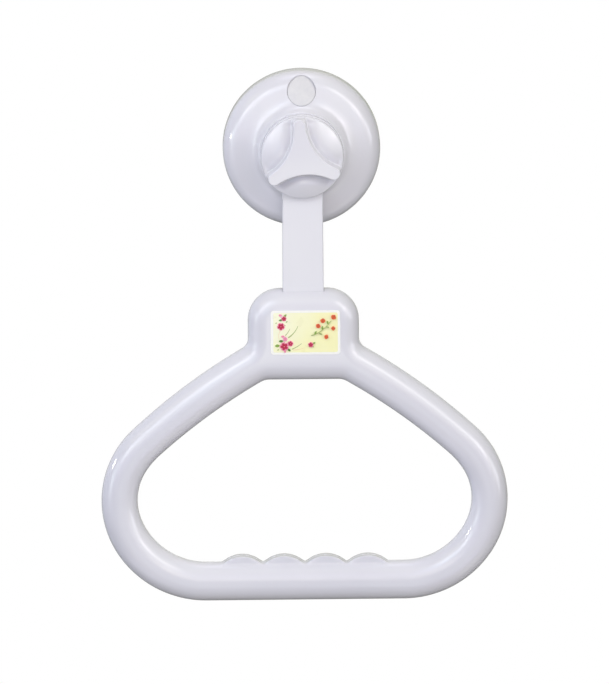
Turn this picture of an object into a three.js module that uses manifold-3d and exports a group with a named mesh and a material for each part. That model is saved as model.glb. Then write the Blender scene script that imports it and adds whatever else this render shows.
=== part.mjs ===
// Suction grab bar: a wall cup with a twist-lock knob, a hanging strap and a closed hand loop.
//
// Bench frame used for every piece below: X to the right, Y up the wall, Z out from the wall,
// with the origin at the middle of the pad's wall face. One outer group stands the bench frame
// up, so that in the part's own frame +X is right, +Z is up and the wall is the plane y = 0,
// with the object on its -Y side. Millimetres throughout.
import * as THREE from "three";
import { mergeVertices, toCreasedNormals } from "three/addons/utils/BufferGeometryUtils.js";
import Module from "manifold-3d";

const wasm = await Module();
wasm.setup();

/* ------------------------------------------------------------------ driving dimensions */

const GAP = 0.3; // assembly clearance between touching pieces

// suction cup
const CUP_R = 44.1; // cover radius
const CUP_TOP = 32.5; // height of the cover's top land above the wall
const CUP_WALL = 2.3; // cover wall thickness
const PAD_R = 43.4; // soft pad radius
const PAD_T = 3.9; // soft pad thickness under the cover
const SHOULDER = 10.5; // height at which the cover's side starts to round over
const BEND = [[13, 43], [9.2, 30.5], [15.3, 20.5], [0, 4.48], [-22, 31.5], [-7.46, 68]]; // cover's run from shoulder to neck: bend radius and the tilt it ends at, or 0 and a straight length
const COLLAR_R = 10.0; // collar that the strap ring turns on
const COLLAR_TOP = 39.1;
const RIB_ANGLES = [0, 60, 120, 180, 240, 300];

// threaded post, nut and knob
const LEAD = 4.0; // one full turn of the knob moves the post this far
const THREAD_R = 6.9; // outside radius of the post's thread
const ROOT_R = 5.6;
const FLAT_X = 5.3; // half distance across the post's two flats
const POST_TOP = 43.5;
const THREAD_FROM = 33.0;
const KNOB_R = 23.05;
const KNOB_Z0 = 39.8; // underside of the knob
const KNOB_RIM = 42.9; // top of the knob's round rim
const KNOB_TOP = 51.5; // flat face of the three-armed grip
const KNOB_ARM_TIP = 22.6; // reach of each arm
const KNOB_ARM_R = 3.2; // rounding of each arm's end
const KNOB_WAIST = 8.4; // nearest distance of a scooped side to the axis
const KNOB_TURN = 5; // degrees, resting angle of the grip, anticlockwise from the front

// release button
const BTN_Y = 34.2; // height of the button's axis above the cup's axis
const BTN_R = 7.85;
const BTN_HOLE_R = 8.2;

// strap
const RING_R = 23.2;
const STRAP_Z0 = 32.9;
const STRAP_Z1 = 39.4;
const STRAP_HALF_TOP = 11.25; // half width at the ring
const STRAP_HALF_END = 11.5; // half width at the handle
const STRAP_END = -112.3;
const BOLT_Y = [-87.3, -103.3];

// handle
const MID = 34.5; // height of the handle's mid-plane above the wall
const TUBE_R = 11.0; // radius of the grip tube, and of the block's rounded edges
const WALL = 3.0;
const SPLIT = 0.15; // half the gap at the parting line
const SCREWS = [[-38, -124.7], [38, -124.7], [-104.3, -196.3], [104.3, -196.3], [-42, -242.7], [42, -242.7]];
const SCALLOP_X = [-35.25, -11.75, 11.75, 35.25];
const SCALLOP_R = 16.3;
const SCALLOP_TOP = -227.9;
const SCALLOP_HALF_T = 4.6; // half thickness of the finger rib

// label
const LABEL = { w: 38.8, h: 25.0, x: 1.0, y: -98.7, r: 1.7, t: 0.25 };

/* ------------------------------------------------------------------ helpers */

const RAD = Math.PI / 180;

// Closed three.js geometry to a manifold-3d solid, with shared vertices merged and zero-area faces dropped.
function solid(geometry) {
  const flat = geometry.index ? geometry.toNonIndexed() : geometry;
  const bare = new THREE.BufferGeometry().setAttribute("position", flat.getAttribute("position").clone());
  const merged = mergeVertices(bare, 1e-4);
  const index = merged.index.array;
  const tri = [];
  for (let i = 0; i < index.length; i += 3) {
    const [a, b, c] = [index[i], index[i + 1], index[i + 2]];
    if (a !== b && b !== c && c !== a) tri.push(a, b, c);
  }
  const make = (t) =>
    new wasm.Manifold(
      new wasm.Mesh({ numProp: 3, vertProperties: new Float32Array(merged.attributes.position.array), triVerts: new Uint32Array(t) }),
    );
  const made = make(tri);
  if (made.volume() > 0) return made;
  for (let i = 0; i < tri.length; i += 3) [tri[i + 1], tri[i + 2]] = [tri[i + 2], tri[i + 1]];
  return make(tri);
}

// Turned piece: profile of [radius, z], open on the axis or closed on itself.
function turned(profile, segments = 32, x = 0, y = 0) {
  const first = profile[0];
  const last = profile[profile.length - 1];
  const pts = profile.map(([r, z]) => new THREE.Vector2(r, z));
  if (first[0] > 0 || last[0] > 0) pts.push(new THREE.Vector2(first[0], first[1]));
  return solid(new THREE.LatheGeometry(pts, segments).rotateX(Math.PI / 2).translate(x, y, 0));
}

// Plain round bar from z0 to z1.
function bar(r, z0, z1, x = 0, y = 0, segments = 20) {
  return solid(new THREE.CylinderGeometry(r, r, z1 - z0, segments).rotateX(Math.PI / 2).translate(x, y, (z0 + z1) / 2));
}

function block(x0, x1, y0, y1, z0, z1) {
  return solid(new THREE.BoxGeometry(x1 - x0, y1 - y0, z1 - z0).translate((x0 + x1) / 2, (y0 + y1) / 2, (z0 + z1) / 2));
}

function plate(points, z0, z1) {
  const shape = new THREE.Shape(points.map(([x, y]) => new THREE.Vector2(x, y)));
  return solid(new THREE.ExtrudeGeometry(shape, { depth: z1 - z0, bevelEnabled: false }).translate(0, 0, z0));
}

function arc(cx, cy, r, from, to, steps) {
  const pts = [];
  for (let i = 0; i <= steps; i++) {
    const a = (from + ((to - from) * i) / steps) * RAD;
    pts.push([cx + r * Math.cos(a), cy + r * Math.sin(a)]);
  }
  return pts;
}

const hexagon = (r, x = 0, y = 0, turn = 0) => arc(x, y, r, turn, turn + 300, 5);

// Wire spring of round section along the z axis.
class Coil extends THREE.Curve {
  constructor(r, z0, z1, turns) {
    super();
    Object.assign(this, { r, z0, z1, turns });
  }
  getPoint(t, target = new THREE.Vector3()) {
    // the first and last three quarters of a turn are closed flat
    const dead = 0.75 / this.turns;
    const u = THREE.MathUtils.clamp((t - dead) / (1 - 2 * dead), 0, 1);
    const lay = 0.06 * Math.min(t, 1 - t, dead) / dead;
    const a = t * this.turns * 2 * Math.PI;
    return target.set(this.r * Math.cos(a), this.r * Math.sin(a), this.z0 + (this.z1 - this.z0) * (u * 0.94 + (t < 0.5 ? lay : 0.06 - lay) * 0.5 + 0.0));
  }
}
function spring(r, wire, z0, z1, turns, perTurn, sides = 6) {
  const section = new THREE.Shape(arc(0, 0, wire / 2, 0, 360 - 360 / sides, sides - 1).map(([x, y]) => new THREE.Vector2(x, y)));
  const path = new Coil(r, z0 + wire / 2, z1 - wire / 2, turns);
  return solid(new THREE.ExtrudeGeometry(section, { steps: turns * perTurn, bevelEnabled: false, extrudePath: path }));
}

// Solid bounded by a right-handed screw surface. section lists [phase, radius] over one lead,
// phase in fractions of the lead; the ends are cut square afterwards.
function screwBody(section, z0, z1, around = 24) {
  const per = section.length;
  const turns = Math.ceil((z1 - z0) / LEAD) + 3;
  const rows = turns * per;
  const base = Math.floor(z0 / LEAD) * LEAD - LEAD * 2;
  const pos = [];
  const at = (i, j) => {
    const wrap = i === around;
    const jj = wrap ? j + per : j;
    return (wrap ? 0 : i) * (rows + per) + jj;
  };
  for (let i = 0; i < around; i++) {
    const a = (i / around) * 2 * Math.PI;
    for (let j = 0; j < rows + per; j++) {
      const [phase, r] = section[j % per];
      const z = base + LEAD * (Math.floor(j / per) + phase + i / around);
      pos.push(r * Math.cos(a), r * Math.sin(a), z);
    }
  }
  const low = pos.length / 3;
  pos.push(0, 0, base - LEAD);
  const high = low + 1;
  pos.push(0, 0, base + LEAD * (turns + 4));
  const tri = [];
  for (let i = 0; i < around; i++)
    for (let j = 0; j < rows - 1; j++) {
      const [a, b, c, d] = [at(i, j), at(i + 1, j), at(i + 1, j + 1), at(i, j + 1)];
      tri.push(a, b, c, a, c, d);
    }
  for (let i = 0; i < around; i++) {
    tri.push(low, at(i + 1, 0), at(i, 0));
    tri.push(high, at(i, rows - 1), at(i + 1, rows - 1));
  }
  for (let j = 0; j < per; j++) {
    tri.push(low, j, j + 1);
    tri.push(high, rows + j, rows + j - 1);
  }
  const g = new THREE.BufferGeometry().setAttribute("position", new THREE.Float32BufferAttribute(pos, 3));
  g.setIndex(tri);
  return solid(g).intersect(bar(THREAD_R + 4, z0, z1, 0, 0, 24));
}

/* ------------------------------------------------------------------ materials */

const plastic = (color, roughness = 0.28) => new THREE.MeshStandardMaterial({ color, roughness, metalness: 0 });
const metal = (color, roughness = 0.35) => new THREE.MeshStandardMaterial({ color, roughness, metalness: 1 });
const ABS = 0xe3e3ec;

/* ------------------------------------------------------------------ scene graph */

const root = new THREE.Group();
root.name = "suction_grab_bar";
const bench = new THREE.Group();
bench.rotation.x = Math.PI / 2;
root.add(bench);
const cup = new THREE.Group();
const lock = new THREE.Group();
const release = new THREE.Group();
release.position.set(0, BTN_Y, 0);
const grip = new THREE.Group();
bench.add(cup, lock, release, grip);

function add(group, name, made, material, x = 0, y = 0, z = 0) {
  const mesh = made.getMesh();
  const g = new THREE.BufferGeometry();
  g.setAttribute("position", new THREE.Float32BufferAttribute(Array.from(mesh.vertProperties), 3));
  g.setIndex(Array.from(mesh.triVerts));
  const part = new THREE.Mesh(toCreasedNormals(g, 0.6), material);
  part.name = name;
  part.position.set(x, y, z);
  group.add(part);
  return part;
}

/* ------------------------------------------------------------------ suction cup */

// Soft pad: flat wall face, thick outer band, thin flexing web and a moulded socket for the insert.
{
  let pad = turned(
    [
      [0, 0], [PAD_R - 0.4, 0], [PAD_R, 0.5], [PAD_R, 1.8], [PAD_R - 0.4, 2.3], [41.3, 2.3], [40.6, PAD_T], [24.5, PAD_T],
      [23.2, 3.0], [18, 3.0], [16.5, 4.5], [16, 8.6], [15.6, 9], [11, 9], [11, 7.5], [13.3, 7.5], [13.3, 5.6], [8.4, 5.6],
      [8.4, 3.0], [0, 3.0],
    ],
    36,
  );
  pad = pad.subtract(bar(2.6, -1, 6, 0, BTN_Y, 16)); // vent
  pad = pad.subtract(bar(5.5, -1, 3.0, 0, BTN_Y, 20)); // recess that the vent seal sits in
  add(cup, "suction_pad", pad, plastic(0xdfe3ea, 0.4));
}

// Steel plate that spreads the post's pull over the pad.
add(cup, "pad_insert_plate", turned([[7.1, 5.9], [13.0, 5.9], [13.0, 7.2], [7.1, 7.2]], 28), metal(0xb9bcc2));

// Post: flange under the plate, plain shank with two flats, threaded end.
{
  const phases = [[-0.14, THREAD_R], [0.14, THREAD_R], [0.32, ROOT_R], [0.68, ROOT_R]];
  const head = turned([[0, 3.3], [8.1, 3.3], [8.1, 5.6], [6.75, 5.6], [6.75, THREAD_FROM + 0.5], [0, THREAD_FROM + 0.5]], 24);
  const thread = screwBody(phases, THREAD_FROM, POST_TOP);
  const flats = block(-FLAT_X, FLAT_X, -10, 10, 5.6, POST_TOP + 1).add(block(-10, 10, -10, 10, 3, 5.6));
  const tip = turned([[0, 0], [9, 0], [9, POST_TOP - 1.4], [5.4, POST_TOP + 0.4], [0, POST_TOP + 0.4]], 24);
  add(lock, "threaded_post", head.add(thread).intersect(flats).intersect(tip), plastic(0xeeeeee, 0.4));
}

// Return spring between the insert plate and the cover's roof.
add(cup, "return_spring", spring(9.2, 1.3, 7.55, 29.4, 5, 12, 5), metal(0x9fa3a8));

// Cover's curve from the shoulder up to the neck, offset inwards by the wall; counts gives the steps of each bend.
function coverCurve(off, counts) {
  let r = CUP_R;
  let z = SHOULDER;
  let t = 0; // angle of the outward normal above the wall's plane
  const out = [[r - off, z]];
  const at = (a) => [Math.cos(a), Math.sin(a)];
  BEND.forEach(([rho, end], i) => {
    const n = counts[i];
    if (!rho) {
      r -= end * Math.sin(t);
      z += end * Math.cos(t);
      out.push([r - off * Math.cos(t), z - off * Math.sin(t)]);
      return;
    }
    const stop = (90 - end) * RAD;
    const [c0, s0] = at(t);
    const cx = r - rho * c0;
    const cz = z - rho * s0;
    for (let k = 1; k <= n; k++) {
      const a = t + ((stop - t) * k) / n;
      const [c, s] = at(a);
      r = cx + rho * c;
      z = cz + rho * s;
      out.push([r - off * c, z - off * s]);
    }
    t = stop;
  });
  return out;
}

// Cover: stepped dome with a sloped band, a neck, a flat land, a central collar, a button tower and inner ribs.
{
  const outer = [
    [CUP_R - 0.3, 2.6], [CUP_R, 3.2], ...coverCurve(0, [3, 1, 1, 1, 1, 3]),
    [24.1, CUP_TOP - 0.7], [23.5, CUP_TOP],
  ];
  const inner = [
    [22.4, CUP_TOP - 2.8], ...coverCurve(CUP_WALL, [2, 1, 1, 1, 1, 1]).reverse(),
    [CUP_R - CUP_WALL, 3.2], [CUP_R - CUP_WALL + 0.5, 2.6],
  ];
  const top = [[21, CUP_TOP], [21, CUP_TOP - 1], [12, CUP_TOP - 1], [12, CUP_TOP], [COLLAR_R, CUP_TOP], [COLLAR_R, COLLAR_TOP - 0.4], [COLLAR_R - 0.4, COLLAR_TOP], [0, COLLAR_TOP]];
  let cover = turned([[0, CUP_TOP - 2.8], ...inner, ...outer, ...top], 36);
  // space inside the cover's skin, which the ribs and the tower stop in
  const inside = turned([[0, 2.6], [CUP_R - 1.1, 2.6], ...coverCurve(1.1, [2, 1, 1, 1, 1, 1]), [23.1, CUP_TOP - 1.8], [0, CUP_TOP - 1.8]], 24);
  // spring seat
  cover = cover.add(turned([[10.2, 27.1], [11.8, 27.1], [11.8, 30.5], [10.2, 30.5]], 24));
  // radial ribs
  for (const a of RIB_ANGLES) {
    const rib = solid(new THREE.BoxGeometry(24, 1.8, 23).translate(32, 0, 8 + 11.5).rotateZ(a * RAD));
    cover = cover.add(rib.intersect(inside));
  }
  // tower for the release button, with a floor that carries the spring
  const tower = turned([[2.4, 7.2], [10.2, 7.2], [10.2, 30.5], [2.4, 30.5]], 24, 0, BTN_Y).intersect(inside);
  cover = cover.add(tower).subtract(bar(BTN_HOLE_R, 8.6, 45, 0, BTN_Y, 24)).subtract(bar(2.4, 5, 10, 0, BTN_Y, 16));
  // flatted hole that the post slides in
  const hole = bar(THREAD_R + GAP, 20, 45, 0, 0, 28).intersect(block(-FLAT_X - GAP, FLAT_X + GAP, -10, 10, 20, 45));
  cover = cover.subtract(hole);
  add(cup, "cup_cover", cover, plastic(ABS));
}

add(cup, "friction_washer", turned([[12.3, 31.8], [20.7, 31.8], [20.7, 32.6], [12.3, 32.6]], 28), plastic(0x2b2b2e, 0.7));
add(cup, "thrust_washer", turned([[10.6, 38.8], [20.4, 38.8], [20.4, 39.5], [10.6, 39.5]], 28), plastic(0xf0f0f0, 0.3));

/* ------------------------------------------------------------------ knob */

function gripOutline(tip, tipR, waist, steps = 7) {
  // three arms with round ends, joined by single concave arcs
  const c0 = tip - tipR;
  const a = waist - tipR;
  const c = (c0 * c0 - a * a) / (c0 - 2 * a);
  const rho = c - waist;
  const pts = [];
  for (let k = 0; k < 3; k++) {
    const arm = 90 + 120 * k + KNOB_TURN;
    const tx = c0 * Math.cos(arm * RAD);
    const ty = c0 * Math.sin(arm * RAD);
    const centre = (s) => [c * Math.cos((arm + s * 60) * RAD), c * Math.sin((arm + s * 60) * RAD)];
    const [rx, ry] = centre(-1);
    const [lx, ly] = centre(1);
    const from = Math.atan2(ry - ty, rx - tx) / RAD;
    let to = Math.atan2(ly - ty, lx - tx) / RAD;
    while (to < from) to += 360;
    pts.push(...arc(tx, ty, tipR, from, to, 6));
    const next = 90 + 120 * (k + 1) + KNOB_TURN;
    let s0 = Math.atan2(ty - ly, tx - lx) / RAD;
    let s1 = Math.atan2(c0 * Math.sin(next * RAD) - ly, c0 * Math.cos(next * RAD) - lx) / RAD;
    while (s1 > s0) s1 -= 360;
    pts.push(...arc(lx, ly, rho, s0, s1, steps).slice(1, -1));
  }
  return pts;
}

{
  const rim = turned([[0, KNOB_Z0], [KNOB_R - 0.3, KNOB_Z0], [KNOB_R, KNOB_Z0 + 0.4], [KNOB_R, KNOB_RIM - 0.6], [KNOB_R - 0.6, KNOB_RIM], [19.5, 44.7], [15, 46.7], [10, 48.4], [5, 49.3], [0, 49.6]], 40);
  let knob = rim.add(plate(gripOutline(KNOB_ARM_TIP, KNOB_ARM_R, KNOB_WAIST), KNOB_Z0 + 2, KNOB_TOP));
  knob = knob.subtract(plate(hexagon(10.2), KNOB_Z0 - 1, 46.4)).subtract(bar(7.7, KNOB_Z0 - 1, 48.8));
  add(lock, "locking_knob", knob, plastic(ABS));
  const groove = [[-0.21, THREAD_R + GAP], [0.21, THREAD_R + GAP], [0.42, ROOT_R + GAP], [0.58, ROOT_R + GAP]];
  const nut = plate(hexagon(9.85), 40.1, 46.1).subtract(screwBody(groove, 39.5, 46.7));
  add(lock, "knob_nut", nut, metal(0xc9a24a));
}

/* ------------------------------------------------------------------ vacuum release */

{
  // cap with a slanted face that carries on the cover's slope, a spring pocket and a stepped stem
  const slope = Math.atan2(27.3 - 17.3, 42.05 - 26.35);
  const under = solid(new THREE.BoxGeometry(40, 60, 40).translate(0, 0, -20).rotateX(-slope).translate(0, 26.35 - BTN_Y, 27.3));
  let button = bar(BTN_R, 10.9, 34, 0, 0, 24).intersect(under);
  button = button.subtract(bar(4.6, 10, 13.2, 0, 0, 20));
  button = button.add(turned([[0, 2.0], [1.0, 2.0], [1.0, 3.0], [2.0, 3.0], [2.0, 5.95], [1.4, 5.95], [1.4, 7.15], [2.0, 7.15], [2.0, 13.6], [0, 13.6]], 16));
  add(release, "release_button", button, plastic(0xe6e6ea, 0.35));
  add(release, "button_spring", spring(3.35, 0.6, 8.95, 12.9, 3, 10, 5), metal(0x9fa3a8));
  const clip = turned([[1.7, 6.25], [3.9, 6.25], [3.9, 6.85], [1.7, 6.85]], 20).subtract(block(-1.1, 1.1, -6, 0, 5, 8));
  add(release, "button_clip", clip, metal(0x8d9096));
  add(release, "vent_seal", turned([[1.3, 1.9], [5.0, 1.9], [5.0, 2.5], [4.6, 2.7], [1.3, 2.7]], 20), plastic(0x3a3a3d, 0.8));
}

/* ------------------------------------------------------------------ strap */

{
  const bevel = 0.6;
  const bar0 = (h, z) => h - bevel;
  const ringAngle = Math.asin(bar0(STRAP_HALF_TOP) / (RING_R - bevel)) / RAD;
  const outline = [
    ...arc(0, 0, RING_R - bevel, -90 + ringAngle, 270 - ringAngle, 28),
    [-(STRAP_HALF_END - bevel), -75], [-(STRAP_HALF_END - bevel), STRAP_END + bevel + 2], [-(STRAP_HALF_END - bevel) + 2, STRAP_END + bevel],
    [STRAP_HALF_END - bevel - 2, STRAP_END + bevel], [STRAP_HALF_END - bevel, STRAP_END + bevel + 2], [STRAP_HALF_END - bevel, -75],
  ];
  const shape = new THREE.Shape(outline.map(([x, y]) => new THREE.Vector2(x, y)));
  let strap = solid(
    new THREE.ExtrudeGeometry(shape, { depth: STRAP_Z1 - STRAP_Z0 - 2 * bevel, bevelEnabled: true, bevelThickness: bevel, bevelSize: bevel, bevelSegments: 1 }).translate(0, 0, STRAP_Z0 + bevel),
  );
  strap = strap.subtract(bar(COLLAR_R + GAP, 20, 45, 0, 0, 32)).subtract(turned([[5, 38.5], [20.7, 38.5], [20.7, 45], [5, 45]], 32));
  for (const y of BOLT_Y) strap = strap.subtract(bar(2.3, 20, 45, 0, y, 14));
  add(grip, "hanger_strap", strap, plastic(ABS));
}

/* ------------------------------------------------------------------ handle shells */

// G1 chain of lines and arcs: [length, radius], radius 0 for a line, positive turning left.
function chain(x, y, heading, segments, step) {
  const pts = [[x, y]];
  for (const [length, r, n] of segments) {
    const k = r ? 1 / r : 0;
    const steps = n || Math.max(2, Math.round(length / step));
    const ds = length / steps;
    for (let i = 0; i < steps; i++) {
      const h = heading + (k * ds) / 2;
      const chord = k ? (2 / k) * Math.sin((k * ds) / 2) : ds;
      x += Math.cos(h) * chord;
      y += Math.sin(h) * chord;
      heading += k * ds;
      pts.push([x, y]);
    }
  }
  return pts;
}
const lastHeading = (segments) => segments.reduce((h, [l, r]) => h + (r ? l / r : 0), 0);

// Right half of each outline, from the top middle to the bottom middle.
function halfOutline(kind, step, counts) {
  const head =
    kind === "outer"
      ? [[13.11, 0], [18.4 * (Math.PI / 2), -18.4], [10.18, 0], [6.474 * (Math.PI / 2 - 0.531), 6.474], [77.507, -353.7], [21.237, -55.22], [59.0, -56.18]]
      : [[19.47, 0], [8.4 * 0.524, -8.4], [70.81, -337.0], [11.066, -45.55], [30.6, -30.41]];
  const trim = kind === "outer" ? 0.42 : -0.42; // parallel shift, thinning the tube
  for (const seg of head) if (seg[1]) [seg[0], seg[1]] = [(seg[0] * (seg[1] + trim)) / seg[1], seg[1] + trim];
  const bend = (kind === "outer" ? 59.61 : 38.94) - trim;
  const start = [0, (kind === "outer" ? -75.025 : -127.68) - trim];
  const turn = lastHeading(head) + Math.PI;
  const all = [...head, [bend * turn, -bend]];
  const probe = chain(start[0], start[1], 0, all, 1);
  const end = probe[probe.length - 1];
  all.push([end[0], 0]);
  return chain(start[0], start[1], 0, all.map(([l, r], i) => [l, r, counts && counts[i]]), step);
}
const mirror = (half) => [...half, ...half.slice(1, -1).reverse().map(([x, y]) => [-x, y])];

function distanceTo(lines) {
  return (x, y) => {
    let best = 1e9;
    for (const line of lines)
      for (let i = 0; i < line.length; i++) {
        const [ax, ay] = line[i];
        const [bx, by] = line[(i + 1) % line.length];
        const dx = bx - ax;
        const dy = by - ay;
        const t = Math.min(1, Math.max(0, ((x - ax) * dx + (y - ay) * dy) / (dx * dx + dy * dy || 1)));
        best = Math.min(best, Math.hypot(x - ax - t * dx, y - ay - t * dy));
      }
    return best;
  };
}

const outerHalf = halfOutline("outer", 1, [2, 4, 1, 3, 5, 2, 6, 5, 2]);
const innerFine = halfOutline("inner", 0.5);
const outerLoopFine = mirror(halfOutline("outer", 1));
const innerLoopFine = mirror(halfOutline("inner", 1));
const distance = distanceTo([outerLoopFine, innerLoopFine]);

// Partner of each outer station on the inner outline.
const innerLength = [0];
for (let i = 1; i < innerFine.length; i++)
  innerLength.push(innerLength[i - 1] + Math.hypot(innerFine[i][0] - innerFine[i - 1][0], innerFine[i][1] - innerFine[i - 1][1]));
function innerAt(s) {
  let i = innerLength.findIndex((v) => v >= s);
  if (i < 1) i = i === 0 ? 1 : innerFine.length - 1;
  const t = (s - innerLength[i - 1]) / (innerLength[i] - innerLength[i - 1]);
  return [innerFine[i - 1][0] + t * (innerFine[i][0] - innerFine[i - 1][0]), innerFine[i - 1][1] + t * (innerFine[i][1] - innerFine[i - 1][1])];
}
const nearest = (p) => {
  let best = 1e9;
  let s = 0;
  innerFine.forEach(([x, y], i) => {
    const d = Math.hypot(x - p[0], y - p[1]);
    if (d < best) [best, s] = [d, innerLength[i]];
  });
  return s;
};
const FILLET = 2 + 4 + 1 + 2; // station where the block runs into the tube
const partner = outerHalf.map((p) => nearest(p));
for (let i = 0; i < FILLET; i++) partner[i] = (partner[FILLET] * i) / FILLET;
partner[partner.length - 1] = innerLength[innerLength.length - 1];
const rungsHalf = outerHalf.map((p, i) => [p, innerAt(partner[i])]);
const rungs = [...rungsHalf, ...rungsHalf.slice(1, -1).reverse().map(([[a, b], [c, d]]) => [[-a, b], [-c, d]])];

// Half of the swept body on one side of the mid-plane: inset from the outline, with round edges of the given radius.
function halfBody(inset, radius, side, floor) {
  const pos = [];
  const h = (x, y) => {
    const d = Math.max(0, distance(x, y) - inset);
    return d >= radius ? radius : Math.sqrt(Math.max(0, 2 * radius * d - d * d));
  };
  for (const [[ax, ay], [bx, by]] of rungs) {
    const w = Math.hypot(bx - ax, by - ay);
    const find = (sgn) => {
      if (!inset) return 0;
      let lo = 0;
      let hi = w * 0.45;
      for (let k = 0; k < 24; k++) {
        const m = (lo + hi) / 2;
        const t = sgn > 0 ? m / w : 1 - m / w;
        if (distance(ax + t * (bx - ax), ay + t * (by - ay)) < inset) lo = m;
        else hi = m;
      }
      return hi;
    };
    const s0 = find(1);
    const s1 = w - find(-1);
    const span = s1 - s0;
    const r4 = Math.min(radius * (w > 2.6 * TUBE_R ? 1.15 : 1), 0.4 * span);
    const marks = inset
      ? [0, 0.3 * radius, r4, span - r4, span - 0.3 * radius, span]
      : [0, 0.134 * radius, 0.5 * radius, r4, span - r4, span - 0.5 * radius, span - 0.134 * radius, span];
    marks.forEach((m, j) => {
      const t = (s0 + m) / w;
      const x = ax + t * (bx - ax);
      const y = ay + t * (by - ay);
      const rise = j === 0 || j === marks.length - 1 ? floor : Math.max(floor + 0.01, h(x, y));
      pos.push(x, y, MID + side * rise);
    });
  }
  const n = rungs.length;
  const across = inset ? 6 : 8;
  const tri = [];
  for (let i = 0; i < n; i++) {
    const k = (i + 1) % n;
    for (let j = 0; j < across - 1; j++) {
      const [a, b, c, d] = [i * across + j, i * across + j + 1, k * across + j + 1, k * across + j];
      tri.push(a, b, c, a, c, d);
    }
    const [a, b, c, d] = [i * across, i * across + across - 1, k * across + across - 1, k * across];
    tri.push(a, c, b, a, d, c);
  }
  const g = new THREE.BufferGeometry().setAttribute("position", new THREE.Float32BufferAttribute(pos, 3));
  g.setIndex(tri);
  return solid(g);
}

// Finger rib on top of the bottom rail.
function fingerRib(z0, z1) {
  const pts = [];
  const half = Math.sqrt(SCALLOP_R ** 2 - (SCALLOP_R - 5.0) ** 2);
  const span = (Math.asin(half / SCALLOP_R) / RAD) * 1.0;
  for (const x of SCALLOP_X) pts.push(...arc(x, SCALLOP_TOP - SCALLOP_R, SCALLOP_R, 90 + Math.min(span, Math.asin(11.7 / SCALLOP_R) / RAD), 90 - Math.min(span, Math.asin(11.7 / SCALLOP_R) / RAD), 6));
  return plate([[-47.5, -236.3], ...pts, [47.5, -236.3]], z0, z1);
}

// Strap pocket, common to both shells.
const slot = () => block(-STRAP_HALF_END - 0.35, STRAP_HALF_END + 0.35, STRAP_END - 1, -70, STRAP_Z0 - GAP, STRAP_Z1 + GAP);

{
  const parting = MID + SPLIT;
  const outerBody = halfBody(0, TUBE_R, 1, SPLIT);
  let front = outerBody.add(fingerRib(parting, MID + SCALLOP_HALF_T)).subtract(halfBody(WALL, TUBE_R - WALL, 1, -1));
  for (const [x, y] of SCREWS) front = front.add(bar(3.6, parting, 43.1, x, y, 10));
  for (const y of BOLT_Y) front = front.add(bar(6.5, STRAP_Z1 + GAP, 43.1, 0, y, 12));
  for (const s of [-1, 1]) front = front.add(block(Math.min(s * 12.1, s * 13.9), Math.max(s * 12.1, s * 13.9), -114.3, -83.3, parting, 43));
  front = front.subtract(slot());
  for (const [x, y] of SCREWS) front = front.subtract(bar(1.8, 33.5, 41.5, x, y, 8));
  for (const y of BOLT_Y) front = front.subtract(plate(hexagon(4.4, 0, y, 30), 38.5, 43));
  // shallow seat for the label
  front = front.subtract(block(LABEL.x - LABEL.w / 2 - GAP, LABEL.x + LABEL.w / 2 + GAP, LABEL.y - LABEL.h / 2 - GAP, LABEL.y + LABEL.h / 2 + GAP, MID + TUBE_R - 0.3, 50));
  add(grip, "handle_front_shell", front, plastic(ABS));
}
{
  const parting = MID - SPLIT;
  let rear = halfBody(0, TUBE_R, -1, SPLIT).add(fingerRib(MID - SCALLOP_HALF_T, parting)).subtract(halfBody(WALL, TUBE_R - WALL, -1, -1));
  for (const [x, y] of SCREWS) rear = rear.add(bar(4.6, 25, parting, x, y, 10));
  for (const y of BOLT_Y) rear = rear.add(bar(6.5, 25, STRAP_Z0 - GAP, 0, y, 12));
  for (const s of [-1, 1]) rear = rear.add(block(Math.min(s * 12.1, s * 13.9), Math.max(s * 12.1, s * 13.9), -114.3, -83.3, 25.5, parting));
  rear = rear.subtract(slot());
  for (const [x, y] of SCREWS) rear = rear.subtract(bar(1.9, 15, 38.5, x, y, 8)).subtract(bar(3.35, 15, 29.5, x, y, 12));
  for (const y of BOLT_Y) rear = rear.subtract(bar(2.4, 15, 38.5, 0, y, 10)).subtract(bar(4.4, 15, 28.1, 0, y, 14));
  add(grip, "handle_rear_shell", rear, plastic(ABS));
}

/* ------------------------------------------------------------------ fasteners, plugs, label */

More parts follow.
